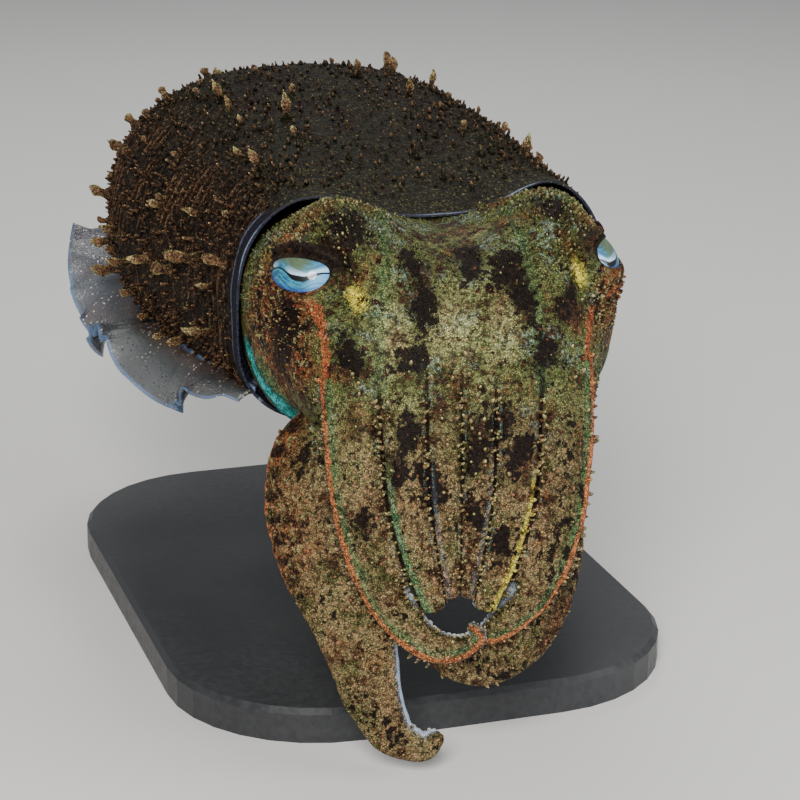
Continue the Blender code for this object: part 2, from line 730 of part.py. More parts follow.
def arm_suckers(arm, low, high):
    """The zigzag row of suckers on the underside of the arm's stretch between two runs of its route."""
    made = []
    at, k = low + SUCKER_END_MARGIN, 0
    while at < high - SUCKER_END_MARGIN / 2:
        share = at / arm.reach
        radius = SUCKER_RADII[0] + (SUCKER_RADII[1] - SUCKER_RADII[0]) * share
        row = interpolated(arm.table, at)
        ahead, across, up = arm.frame(at, row[3], math.radians(row[6]))
        side = SUCKER_SIDE_SHARE * (1 if k % 2 else -1) - SUCKER_KEEL_SHIFT * row[7]
        angle = -math.acos(signed_power(side, ARM_SQUARE / 2))
        made.append(sucker(arm.point(at, angle), -up, ahead, radius))
        at += SUCKER_SPACING * (1 + (SUCKER_TIP_SPACING_SHARE - 1) * share)
        k += 1
    return made


def make_arms(skin):
    """All eight arms, the long ones in two or three lengths. Returns their nodes by name."""
    made = []
    for side, sign in (("right", -1), ("left", 1)):
        for number in (1, 2):
            lengths = np.linspace(ARM_START, ARM_ENDS[number - 1], ARM_STATIONS)
            arm = Arm(sign, packed_stations(number, lengths))
            made.append(arm_piece(f"arm_{number}_{side}", arm, 0.0, 1.0, skin))
        front = THIRD_RIGHT_FRONT if sign < 0 else THIRD_LEFT_FRONT
        packed = packed_stations(3, np.linspace(ARM_START, THIRD_PACKED_TO, ARM_STATIONS - 1))
        fourth = FOURTH_RIGHT if sign < 0 else FOURTH_LEFT
        for number, arm in ((3, Arm(sign, packed + list(front))), (4, Arm(sign, fourth))):
            half_gap = ARM_CUT_GAP / 2 / arm.reach
            cuts = ARM_CUTS[number]
            for k, part in enumerate(ARM_LENGTH_NAMES[number]):
                start, end = cuts[k], cuts[k + 1]
                low = start + half_gap if k else 0.0
                high = end - half_gap if end < 1 else 1.0
                name = f"arm_{number}_{side}_{part}"
                made.append(arm_piece(name, arm, low, high, skin, ARM_LENGTH_RINGS[number], end == 1))
    return made


# Fins


def fin_ray(sign, share):
    """The fin's root at that share of the mantle, the way out of the mantle, and the fin's slope."""
    root = mantle_point(share, FIN_ANGLE, -FIN_ROOT_SUNK)
    before = mantle_point(max(share - FIN_PROBE, 0.0), FIN_ANGLE)
    after = mantle_point(min(share + FIN_PROBE, FIN_PROBE_END), FIN_ANGLE)
    along = after - before
    out = Vector((along.y, -along.x, 0.0)).normalized()
    wave = FIN_DROOP_FRONT + (FIN_DROOP_REAR - FIN_DROOP_FRONT) * share
    wave += FIN_WAVE * math.sin(math.tau * FIN_WAVES * share + (FIN_LEFT_PHASE if sign > 0 else 0.0))
    return root, out, wave


def make_fin(name, sign, skin):
    """A thin band along the mantle's side that waves up and down, split alike on both faces."""
    top, bottom = [], []
    for i in range(FIN_ROWS):
        share = FIN_FIRST + (FIN_LAST - FIN_FIRST) * i / (FIN_ROWS - 1)
        root, out, wave = fin_ray(sign, share)
        width = interpolated(FIN_WIDTHS, share)
        upper, lower = [], []
        for j in range(FIN_COLUMNS):
            across = j / (FIN_COLUMNS - 1)
            turn = wave * across**FIN_BEND_POWER
            way = out * math.cos(turn) + Vector((0, 0, 1)) * math.sin(turn)
            face = Vector((0, 0, 1)) * math.cos(turn) - out * math.sin(turn)
            thinned = across**FIN_THINNING_POWER
            thick = FIN_ROOT_THICKNESS + (FIN_EDGE_THICKNESS - FIN_ROOT_THICKNESS) * thinned
            middle = root + way * width * across
            upper.append(middle + face * thick / 2)
            lower.append(middle - face * thick / 2)
        top.append(upper)
        bottom.append(lower)
    form = bmesh.new()
    flip = Vector((sign, 1, 1))
    up = [[form.verts.new(p * flip) for p in row] for row in top]
    down = [[form.verts.new(p * flip) for p in row] for row in bottom]
    for face in (up, down):
        for i in range(FIN_ROWS - 1):
            for j in range(FIN_COLUMNS - 1):
                form.faces.new((face[i][j], face[i + 1][j], face[i + 1][j + 1]))
                form.faces.new((face[i][j], face[i + 1][j + 1], face[i][j + 1]))
    rim = [(i, 0) for i in range(FIN_ROWS)]
    rim += [(FIN_ROWS - 1, j) for j in range(1, FIN_COLUMNS)]
    rim += [(i, FIN_COLUMNS - 1) for i in range(FIN_ROWS - 2, -1, -1)]
    rim += [(0, j) for j in range(FIN_COLUMNS - 2, 0, -1)]
    for k, (i, j) in enumerate(rim):
        n, m = rim[(k + 1) % len(rim)]
        form.faces.new((up[i][j], up[n][m], down[n][m], down[i][j]))
    return to_object(name, form, skin)


# Funnel


def make_funnel(skin):
    """The short tube under the neck, with its mouth hollowed."""
    angles = [math.tau * k / FUNNEL_SIDES for k in range(FUNNEL_SIDES)]

    def ring(ahead, half_width, half_height, drop, share=1.0):
        hub = Vector((NECK.x, MANTLE_FRONT_Y - ahead, NECK.z - drop))
        wide, high = half_width * share, half_height * share
        return [hub + Vector((wide * math.cos(a), 0, high * math.sin(a))) for a in angles]

    rings = [ring(*row) for row in FUNNEL_STATIONS]
    ahead, half_width, half_height, drop = FUNNEL_STATIONS[-1]
    rings.append(ring(ahead, half_width, half_height, drop, FUNNEL_BORE_SHARE))
    rings.append(ring(ahead - FUNNEL_BORE_DEPTH, half_width, half_height, drop, FUNNEL_BORE_END_SHARE))
    return loft("funnel", rings, material=skin)


# Stand


def make_base(finish):
    """A flat plate with round corners and a small bevel round its top."""
    form = bmesh.new()
    outline = []
    for corner in range(4):
        middle_x = (BASE_WIDTH / 2 - BASE_CORNER) * (1 if corner in (0, 3) else -1)
        middle_y = (BASE_LENGTH / 2 - BASE_CORNER) * (1 if corner in (0, 1) else -1)
        for k in range(BASE_CORNER_STEPS + 1):
            turn = math.pi / 2 * (corner + k / BASE_CORNER_STEPS)
            outline.append((middle_x, middle_y, math.cos(turn), math.sin(turn)))
    levels = (
        (0.0, 0.0),
        (BASE_THICKNESS - BASE_BEVEL, 0.0),
        (BASE_THICKNESS, BASE_BEVEL),
    )
    rows = []
    for height, inset in levels:
        reach = BASE_CORNER - inset
        rows.append([form.verts.new((x + reach * c, y + reach * s, height)) for x, y, c, s in outline])
    for here, there in zip(rows, rows[1:]):
        for k in range(len(here)):
            n = (k + 1) % len(here)
            form.faces.new((here[k], here[n], there[n], there[k]))
    form.faces.new(rows[0])
    form.faces.new(rows[-1])
    return to_object("stand_base", form, finish)


def make_rod(name, y, finish):
    bottom = BASE_THICKNESS + GAP
    top = MANTLE_LINE_BODY - MANTLE_VENTRAL / 2
    bpy.ops.mesh.primitive_cylinder_add(
        vertices=ROD_SIDES, radius=ROD_RADIUS, depth=top - bottom, location=(0, y, (top + bottom) / 2)
    )
    rod = bpy.context.object
    rod.name = name
    rod.data.transform(rod.matrix_world)
    rod.matrix_world.identity()
    rod.data.materials.append(finish)
    return rod


def main():
    for old in list(bpy.data.objects):
        bpy.data.objects.remove(old)
    mantle_skin = material("mantle_skin", (0.11, 0.045, 0.03), 0.5)
    head_skin = material("head_skin", (0.24, 0.20, 0.08), 0.5)
    arm_skin = material("arm_skin", (0.26, 0.15, 0.07), 0.5)
    fin_skin = material("fin_skin", (0.35, 0.40, 0.45), 0.3, alpha=0.6)
    eye_finish = material("eye", (0.25, 0.42, 0.62), 0.1)
    base_finish = material("stand_plate", (0.03, 0.03, 0.032), 0.45)
    rod_finish = material("stand_steel", (0.6, 0.6, 0.62), 0.3, metallic=1.0)

    head = make_head(head_skin)
    eyes = [make_eye("eye_left", 1, eye_finish), make_eye("eye_right", -1, eye_finish)]
    join(head, [make_lid(1), make_lid(-1)])
    cut_clear(head, *eyes)
    mantle = cut_clear(make_mantle(mantle_skin), head)
    fins = [make_fin("fin_left", 1, fin_skin), make_fin("fin_right", -1, fin_skin)]
    for fin in fins:
        cut_clear(fin, mantle)
    join(mantle, mantle_papillae())
    cut_clear(make_funnel(head_skin), head, mantle)
    for arm in make_arms(arm_skin):
        if arm.name.startswith("arm_4") and arm.name.endswith("base"):
            cut_clear(arm, head)
    make_base(base_finish)
    for name, y in ROD_PLACES.items():
        cut_clear(make_rod(name, y, rod_finish), mantle)


main()
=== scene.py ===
# %% [markdown]
# # A broadclub cuttlefish, life-size, on a plain stand
# The solids of the part are loaded first and fix every size. The looks are then built over them: a fused
# skin for head and arms, a ridged mantle, papillae, suckers, fins, eyes and the finish of the stand.

import math

import bpy
import numpy as np
from mathutils import Matrix, Vector


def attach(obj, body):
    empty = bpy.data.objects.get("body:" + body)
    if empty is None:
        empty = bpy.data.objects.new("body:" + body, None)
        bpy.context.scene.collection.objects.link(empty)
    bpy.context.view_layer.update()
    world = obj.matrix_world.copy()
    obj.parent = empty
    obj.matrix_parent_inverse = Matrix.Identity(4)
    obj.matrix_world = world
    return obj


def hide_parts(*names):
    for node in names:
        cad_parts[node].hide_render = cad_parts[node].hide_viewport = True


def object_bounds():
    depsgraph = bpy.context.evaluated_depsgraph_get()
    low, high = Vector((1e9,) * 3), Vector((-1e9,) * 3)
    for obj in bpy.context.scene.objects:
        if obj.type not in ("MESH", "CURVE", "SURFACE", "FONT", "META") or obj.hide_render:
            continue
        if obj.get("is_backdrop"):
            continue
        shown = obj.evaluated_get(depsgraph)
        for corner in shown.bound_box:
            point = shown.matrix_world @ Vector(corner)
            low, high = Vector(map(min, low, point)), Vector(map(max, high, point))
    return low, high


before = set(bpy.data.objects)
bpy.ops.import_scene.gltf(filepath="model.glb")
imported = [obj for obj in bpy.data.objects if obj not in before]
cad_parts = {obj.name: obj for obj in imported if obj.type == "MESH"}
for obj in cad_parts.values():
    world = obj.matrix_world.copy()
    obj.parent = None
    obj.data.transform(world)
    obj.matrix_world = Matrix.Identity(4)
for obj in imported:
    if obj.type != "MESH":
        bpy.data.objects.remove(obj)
CAD_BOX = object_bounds()
ROOT = "root"
print("solids:", len(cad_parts), "box:", CAD_BOX)

# %% [markdown]
# ## Reading tables, blending and noise
# A body is described by a few stations, such as the head's width at eight places. A cubic between stations
# turns them into a smooth run. A soft step, a bell and a lattice noise do the rest of the shaping, and all
# of them take whole arrays, so that a surface of 90,000 points is one call.

# %% Helpers for whole arrays


def smooth_table(stations, at):
    """Values between stations: a cubic whose slope at each station is the mean slope there."""
    rows = np.asarray(stations, float)
    x, values = rows[:, 0], rows[:, 1:]
    slopes = np.gradient(values, x, axis=0)
    at = np.clip(np.asarray(at, float), x[0], x[-1])
    k = np.clip(np.searchsorted(x, at) - 1, 0, len(x) - 2)
    span = (x[k + 1] - x[k])[..., None]
    f = (at - x[k])[..., None] / span
    low = (2 * f**3 - 3 * f**2 + 1) * values[k] + (f**3 - 2 * f**2 + f) * span * slopes[k]
    return low + (3 * f**2 - 2 * f**3) * values[k + 1] + (f**3 - f**2) * span * slopes[k + 1]


def soft_step(x, low=0.0, high=1.0):
    """0 below low, 1 above high, 3t^2 - 2t^3 between."""
    t = np.clip((x - low) / (high - low), 0, 1)
    return t * t * (3 - 2 * t)


def bell(x, middle=0.0, spread=1.0):
    """exp(-((x - middle) / spread)^2)."""
    return np.exp(-(((x - middle) / spread) ** 2))


def signed_power(x, power):
    """|x|^power with the sign of x."""
    return np.sign(x) * np.abs(x) ** power


def unit(v):
    """Vectors divided by their own lengths."""
    return v / np.maximum(np.linalg.norm(v, axis=-1, keepdims=True), 1e-12)


def upright(way, out):
    """way without its part along out, as a unit."""
    return unit(way - out * np.sum(way * out, -1, keepdims=True))


def noise(points, cell, seed=0):
    """Lattice noise from -1 to 1: a hashed value at each corner of a cell, blended by soft weights."""
    place = np.asarray(points, float) / cell
    base = np.floor(place).astype(np.int64)
    part = place - base
    part = part * part * (3 - 2 * part)
    total = np.zeros(place.shape[:-1])
    for corner in range(8):
        offset = np.array([corner >> k & 1 for k in range(3)])
        c = base + offset
        mixed = c[..., 0] * 374761393 + c[..., 1] * 668265263 + c[..., 2] * 1440662683 + seed * 974634777
        mixed = (mixed ^ (mixed >> 13)) * 1274126177
        value = ((mixed ^ (mixed >> 16)) & 65535) / 32767.5 - 1
        total = total + value * np.prod(np.where(offset, part, 1 - part), axis=-1)
    return total


print("noise check:", np.round(noise(np.eye(3) * 0.3, 0.1), 2))

# %% [markdown]
# ## From arrays to meshes
# Every piece is a grid of points. Its quads come from the grid's own order, and a row may be drawn to a
# pole. A volume that comes out negative means that the faces look inwards, and the corners are reversed.

# %% Meshes from grids


def grid_quads(rows, columns, around=True):
    """Corner numbers of a grid's quads; around joins the last column to the first."""
    r, c = np.meshgrid(np.arange(rows - 1), np.arange(columns if around else columns - 1), indexing="ij")
    n = (c + 1) % columns
    quads = np.stack([r * columns + c, r * columns + n, (r + 1) * columns + n, (r + 1) * columns + c], -1)
    return quads.reshape(-1, 4)


def closed_shell(grid):
    """Points and faces of a tube of rings, each end drawn to its ring's middle. Triangles repeat a corner."""
    rows, columns = grid.shape[:2]
    points = np.concatenate([grid.reshape(-1, 3), [grid[0].mean(0)], [grid[-1].mean(0)]])
    first, last = rows * columns, rows * columns + 1
    here = np.arange(columns)
    after = (here + 1) % columns
    top = (rows - 1) * columns
    start = np.stack([after, here, np.full(columns, first), np.full(columns, first)], -1)
    end = np.stack([top + here, top + after, np.full(columns, last), np.full(columns, last)], -1)
    return points, np.concatenate([grid_quads(rows, columns), start, end])


def facing_out(points, faces):
    """The faces turned over if the shell's signed volume is negative. A repeated corner stays the last."""
    a, b, c, d = (points[faces[:, k]] for k in range(4))
    volume = np.einsum("ij,ij->", a, np.cross(b, c)) + np.einsum("ij,ij->", a, np.cross(c, d))
    return faces if volume > 0 else faces[:, [1, 0, 3, 2]]


def mesh_object(name, points, faces):
    """A new mesh object at the origin. A face that repeats its last corner is a triangle."""
    mesh = bpy.data.meshes.new(name)
    triangle = faces[:, 3] == faces[:, 2]
    mesh.from_pydata(points.tolist(), [], faces[~triangle].tolist() + faces[triangle][:, :3].tolist())
    made = bpy.data.objects.new(name, mesh)
    bpy.context.scene.collection.objects.link(made)
    return made


def make_piece(name, points, faces, finish, masks, uv=None):
    """A smooth piece of the model, facing out. masks: numbers per point. uv: OFBake places per point."""
    piece = mesh_object(name, points, facing_out(points, faces))
    mesh = piece.data
    for key, values in masks.items():
        layer = mesh.attributes.new(key, "FLOAT", "POINT")
        layer.data.foreach_set("value", np.asarray(values, np.float32).ravel())
    if uv is not None:
        corners = np.empty(len(mesh.loops), np.int32)
        mesh.loops.foreach_get("vertex_index", corners)
        mesh.uv_layers.new(name="OFBake").data.foreach_set("uv", uv[corners].astype(np.float32).ravel())
    mesh.polygons.foreach_set("use_smooth", [True] * len(mesh.polygons))
    mesh.materials.append(finish)
    mesh.validate()
    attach(piece, ROOT)
    print(f"{name}: {len(mesh.vertices)} points, {sum(len(p.vertices) - 2 for p in mesh.polygons)} triangles")
    return piece


# %% [markdown]
# ## The mantle's shape
# The mantle is the cuttlefish's body: a cup that holds the cuttlebone, open over the neck and closed at the
# tail. It could be sculpted, but an oval section whose width and heights follow the length is closer to the
# solid and can be asked for any point. The driving sizes are those of the solid.

# %% The mantle as a function of length and turn
EYE_LINE_Y = -0.085
EYE_LINE_Z = 0.131
MANTLE_FRONT = EYE_LINE_Y + 0.024
MANTLE_LENGTH = 0.226
MANTLE_HALF_WIDTH = 0.065
MANTLE_DORSAL = 0.053
MANTLE_VENTRAL = 0.038
MOUTH_SHARES = (0.845, 0.80, 0.86)
FULLEST = 0.45
TAIL_POWERS = (1.85, 0.58, 1.5)
MANTLE_SQUARE = (2.9, 2.25)
MANTLE_LINE = (EYE_LINE_Z - 0.021, EYE_LINE_Z - 0.024, EYE_LINE_Z - 0.020)
LOBE_LENGTH = 0.012
LOBE_SPREAD = math.radians(30)
DIP_SPREAD = math.radians(21)
LOBE_DIP = 0.0108
NOTCH_LENGTH = 0.010


def mantle_point(share, angle, grow=0.0):
    """A squared oval: x = w |cos|^(2/n), z = h |sin|^(2/n), set along y, with a lobe over the neck."""
    opening = soft_step(share, 0, FULLEST)
    past = np.clip((share - FULLEST) / (1 - FULLEST), 0, 1)
    full = np.maximum(1 - past ** TAIL_POWERS[0], 0) ** TAIL_POWERS[1]
    flat = full ** TAIL_POWERS[2]
    wide, over, under = (share_at + (1 - share_at) * opening for share_at in MOUTH_SHARES)
    square = MANTLE_SQUARE[0] + (MANTLE_SQUARE[1] - MANTLE_SQUARE[0]) * opening
    c, s = np.cos(angle), np.sin(angle)
    x = (MANTLE_HALF_WIDTH * full * wide + grow) * signed_power(c, 2 / square)
    height = np.where(s > 0, MANTLE_DORSAL * over, MANTLE_VENTRAL * under) * flat + grow
    line = MANTLE_LINE[0] + (MANTLE_LINE[1] - MANTLE_LINE[0]) * opening
    line = line + (MANTLE_LINE[2] - MANTLE_LINE[1]) * soft_step(past)
    fade = np.maximum(1 - share, 0) ** 4
    lobe = bell(angle, math.pi / 2, LOBE_SPREAD) * fade
    dip = bell(angle, math.pi / 2, DIP_SPREAD) * fade
    notch = bell(angle, -math.pi / 2, LOBE_SPREAD) * fade
    y = MANTLE_FRONT + MANTLE_LENGTH * share - LOBE_LENGTH * lobe + NOTCH_LENGTH * notch
    z = line + height * signed_power(s, 2 / square) - LOBE_DIP * dip
    return np.stack(np.broadcast_arrays(x, y, z), -1)


def mantle_frame(share, angle, step=0.004):
    """The mantle's outward normal, from the cross product of two short steps, and the way to its tail."""
    back = mantle_point(np.minimum(share + step, 1), angle) - mantle_point(share - step, angle)
    around = mantle_point(share, angle + step) - mantle_point(share, angle - step)
    return unit(np.cross(back, around)), unit(back)


print("mantle widest at", mantle_point(np.array(FULLEST), np.array(0.0)).round(4))

# %% [markdown]
# ## One bent axis for head and arms
# The head turns a little to the animal's right and bends down, and the arms go on the same way. Walking
# along one bent axis, a point is told by its length, its distance to the side and its height above.

# %% The bent axis
NECK = np.array([0.0, EYE_LINE_Y + 0.022, EYE_LINE_Z - 0.015])
AXIS_STEP = 0.0005
AXIS_LENGTHS = np.arange(-0.024, 0.160, AXIS_STEP)
# Length along the axis and degrees turned to the right or bent down.
YAW = ((-0.024, 3), (-0.014, 3), (0.0, 6), (0.022, 10), (0.060, 14), (0.160, 15))
PITCH = (
    (-0.024, 0),
    (-0.014, 0),
    (0.0, 6),
    (0.022, 18),
    (0.045, 46),
    (0.065, 62),
    (0.100, 76),
    (0.160, 88),
)


def walk_axis():
    """Adds up unit steps whose turn and dip follow the tables, and sets the neck where it belongs."""
    yaw = np.radians(smooth_table(YAW, AXIS_LENGTHS)[:, 0])
    pitch = np.radians(smooth_table(PITCH, AXIS_LENGTHS)[:, 0])
    ahead = np.stack([-np.sin(yaw) * np.cos(pitch), -np.cos(yaw) * np.cos(pitch), -np.sin(pitch)], 1)
    left = np.stack([np.cos(yaw), -np.sin(yaw), 0 * yaw], 1)
    run = np.concatenate([np.zeros((1, 3)), np.cumsum((ahead[1:] + ahead[:-1]) / 2 * AXIS_STEP, 0)])
    at_neck = np.array([np.interp(0.0, AXIS_LENGTHS, run[:, k]) for k in range(3)])
    return run - at_neck + NECK, ahead, left, np.cross(ahead, left)


AXIS_PLACE, AXIS_AHEAD, AXIS_LEFT, AXIS_UP = walk_axis()


def on_axis(table, length):
    """One of the axis' tables read at any lengths."""
    return np.stack([np.interp(length, AXIS_LENGTHS, table[:, k]) for k in range(3)], -1)


def from_axis(length, side, above):
    """The point that far along the axis, to the animal's left and above."""
    place = on_axis(AXIS_PLACE, length)
    return place + on_axis(AXIS_LEFT, length) * side[..., None] + on_axis(AXIS_UP, length) * above[..., None]


print("axis ends at", AXIS_PLACE[-1].round(4))

# %% [markdown]
# ## The head's shape
# Between the mantle and the arms the head is a squared oval with a shallow saddle between two brows. The
# neck is carried on into the mantle's mouth, so that no gap shows there.

# %% The head as a function of length and turn
# Length, half width, heights over and under the axis, squareness, depth of the saddle.
HEAD_STATIONS = (
    (-0.022, 0.0505, 0.0270, 0.0355, 2.7, 0.0010),
    (-0.010, 0.0510, 0.0278, 0.0370, 2.7, 0.0010),
    (0.000, 0.0512, 0.0290, 0.0380, 2.7, 0.0040),
    (0.012, 0.0506, 0.0325, 0.0385, 2.9, 0.0066),
    (0.022, 0.0492, 0.0345, 0.0380, 2.8, 0.0068),
    (0.032, 0.0456, 0.0312, 0.0340, 2.6, 0.0045),
    (0.040, 0.0428, 0.0272, 0.0290, 2.5, 0.0020),
    (0.052, 0.0370, 0.0212, 0.0200, 2.5, 0.0000),
)
SADDLE_HALF_WIDTH = 0.019
CHEEK_TRIM, CHEEK_AT = 0.08, (0.034, 0.014)
NECK_SWELL, NECK_AT = 0.035, (0.004, 0.014)
SIDE_BLEND = 0.02
LEFT_BROW = 0.2
BROW = {"height": 0.0062, "side": 0.031, "spread": 0.011, "along": 0.016, "length": 0.014}


def head_side(length, angle, half_width, square):
    """w cos^(2/n), drawn in a little on the left cheek and swollen on the right of the neck."""
    side = half_width * signed_power(np.cos(angle), 2 / square)
    swell = NECK_SWELL * soft_step(-side, 0.0, 1.5 * SIDE_BLEND) * bell(length, *NECK_AT)
    return side * (1 + swell - CHEEK_TRIM * soft_step(side, 0.0, SIDE_BLEND) * bell(length, *CHEEK_AT))


def head_point(length, angle):
    """A squared oval about the axis, less a bell between the brows, plus a bell on each brow."""
    half_width, dorsal, ventral, square, saddle = np.moveaxis(smooth_table(HEAD_STATIONS, length), -1, 0)
    s = np.sin(angle)
    side = head_side(length, angle, half_width, square)
    above = np.where(s > 0, dorsal, ventral) * signed_power(s, 2 / square)
    top = np.maximum(s, 0)
    above = above - saddle * bell(side, 0, SADDLE_HALF_WIDTH) * top
    brow = bell(np.abs(side), BROW["side"], BROW["spread"]) * bell(length, BROW["along"], BROW["length"])
    brow = brow * (1 + LEFT_BROW * soft_step(side, 0.0, SIDE_BLEND))
    return from_axis(length, side, above + BROW["height"] * brow * top)


HEAD_ROWS = 90
HEAD_COLUMNS = 200
head_lengths = np.linspace(HEAD_STATIONS[0][0], HEAD_STATIONS[-1][0], HEAD_ROWS)
head_turns = np.linspace(-math.pi, math.pi, HEAD_COLUMNS, endpoint=False)
head_at, head_turn = np.meshgrid(head_lengths, head_turns, indexing="ij")
head_grid = head_point(head_at, head_turn)
print("head from", head_grid.reshape(-1, 3).min(0).round(3), "to", head_grid.reshape(-1, 3).max(0).round(3))

# %% [markdown]
# ## The arms' routes
# Eight arms hang from the head. The first three pairs lie side by side like a closed fan, so their widths
# are fitted between shared edge lines. The third pair's tips curl inwards under the fan, and the fourth
# pair, broad and keeled, droops lowest. Each arm is a table of stations along its own route.

# %% Arms as routes with a section
ARM_ROOT = 0.036
# Length, height of the crown, distance of the three edge lines from the middle.
ARM_EDGES = (
    (0.036, 0.0255, 0.0092, 0.0218, 0.0364),
    (0.046, 0.0232, 0.0090, 0.0213, 0.0360),
    (0.060, 0.0210, 0.0088, 0.0206, 0.0353),
    (0.075, 0.0180, 0.0080, 0.0190, 0.0335),
    (0.090, 0.0140, 0.0054, 0.0147, 0.0292),
    (0.098, 0.0115, 0.0038, 0.0112, 0.0258),
    (0.106, 0.0095, 0.0022, 0.0078, 0.0212),
)
CROWN_REACH = 1.12
ARM_SQUARE = 2.9
ORAL_SHARE = 0.7
KEEL_THINNING = 0.6
ARM_LEANS = (5, 14, 28)
ARM_THICKNESS = 0.0047
ARM_TIP_THICKNESS = 0.0012
ARM_ENDS = {1: 0.0985, 2: 0.1020, 3: 0.090}
TAPER_START, TAPER_LENGTH, LEAN_FADE = 0.046, 0.060, 0.4
FIT_ROUNDS = 8
ARM_OVERLAP = 0.0002
# Length, distance to the side, height, half width, thickness, lean in degrees, keel from 0 to 1.
FRONT_OF_THIRD = {
    -1: (
        (0.098, 0.0190, 0.0050, 0.0062, 0.0038, 30, 0.2),
        (0.1065, 0.0130, 0.0045, 0.0055, 0.0032, 15, 0.2),
        (0.1115, 0.0060, 0.0050, 0.0047, 0.0026, 8, 0.1),
        (0.1115, -0.0010, 0.0060, 0.0036, 0.0020, 8, 0.0),
        (0.1080, -0.0050, 0.0080, 0.0026, 0.0015, 8, 0.0),
        (0.1045, -0.0015, 0.0095, 0.0015, 0.0009, 8, 0.0),
    ),
    1: (
        (0.098, 0.0190, 0.0050, 0.0058, 0.0036, 30, 0.2),
        (0.104, 0.0140, 0.0030, 0.0048, 0.0030, 20, 0.1),
        (0.109, 0.0080, 0.0010, 0.0034, 0.0022, 10, 0.0),
        (0.111, 0.0030, 0.0000, 0.0014, 0.0010, 10, 0.0),
    ),
}
FOURTH = {
    -1: (
        (0.036, 0.0230, -0.0130, 0.0070, 0.0050, 22, 0.2),
        (0.0463, 0.0265, -0.0130, 0.0085, 0.0050, 22, 0.3),
        (0.056, 0.0345, -0.0110, 0.0130, 0.0048, 24, 0.7),
        (0.070, 0.0370, -0.0100, 0.0140, 0.0044, 22, 0.8),
        (0.085, 0.0350, -0.0090, 0.0140, 0.0042, 18, 0.8),
        (0.100, 0.0295, -0.0080, 0.0125, 0.0040, 12, 0.8),
        (0.115, 0.0250, -0.0070, 0.0100, 0.0036, 8, 0.7),
        (0.129, 0.0215, -0.0060, 0.0078, 0.0032, 4, 0.5),
        (0.1395, 0.0150, -0.0050, 0.0056, 0.0026, 0, 0.3),
        (0.1415, 0.0080, -0.0045, 0.0040, 0.0020, 0, 0.1),
        (0.1370, 0.0040, -0.0040, 0.0022, 0.0012, 0, 0.0),
    ),
    1: (
        (0.036, 0.0230, -0.0130, 0.0070, 0.0050, 22, 0.2),
        (0.0463, 0.0265, -0.0130, 0.0085, 0.0050, 22, 0.3),
        (0.058, 0.0275, -0.0120, 0.0095, 0.0048, 24, 0.5),
        (0.072, 0.0265, -0.0115, 0.0098, 0.0044, 22, 0.6),
        (0.087, 0.0255, -0.0100, 0.0098, 0.0042, 18, 0.7),
        (0.101, 0.0225, -0.0080, 0.0095, 0.0040, 12, 0.7),
        (0.112, 0.0160, -0.0060, 0.0088, 0.0036, 8, 0.6),
        (0.1175, 0.0070, -0.0050, 0.0074, 0.0030, 4, 0.5),
        (0.1165, -0.0020, -0.0040, 0.0050, 0.0022, 0, 0.3),
        (0.1125, -0.0065, -0.0035, 0.0022, 0.0012, 0, 0.1),
    ),
}


def arm_section(half_width, thick, angle, keel):
    """How far out and up a section's point lies: a squared oval, thinner below and towards a keel."""
    c, s = np.cos(angle), np.sin(angle)
    height = thick * np.where(s > 0, 1, ORAL_SHARE) * (1 - KEEL_THINNING * keel * np.maximum(c, 0))
    return half_width * signed_power(c, 2 / ARM_SQUARE), height * signed_power(s, 2 / ARM_SQUARE)


def packed_stations(number, lengths):
    """Stations of an arm between its edge lines. Its width is scaled until its leaning section fits."""
    crown, *edges = smooth_table(ARM_EDGES, lengths).T
    inner = 0 * crown if number == 1 else edges[number - 2]
    outer = edges[number - 1]
    share = np.clip((lengths - TAPER_START) / TAPER_LENGTH, 0, 1)
    thick = ARM_THICKNESS + (ARM_TIP_THICKNESS - ARM_THICKNESS) * share**2
    lean = np.radians(ARM_LEANS[number - 1]) * (1 - LEAN_FADE * share)
    turns = np.linspace(0, math.tau, 48, endpoint=False)[:, None]
    half_width = (outer - inner) / 2
    for _ in range(FIT_ROUNDS):
        out, over = arm_section(half_width, thick, turns, 0.0)
        seen = out * np.cos(lean) + over * np.sin(lean)
        half_width = half_width * (outer - inner + ARM_OVERLAP) / (seen.max(0) - seen.min(0))
    middle = (inner + outer - seen.max(0) - seen.min(0)) / 2
    above = (crown - thick) * np.sqrt(1 - (middle / (CROWN_REACH * edges[2])) ** 2)
    columns = (lengths, middle, above, half_width, thick, np.degrees(lean), 0 * lean)
    return [tuple(row) for row in np.stack(columns, 1)]


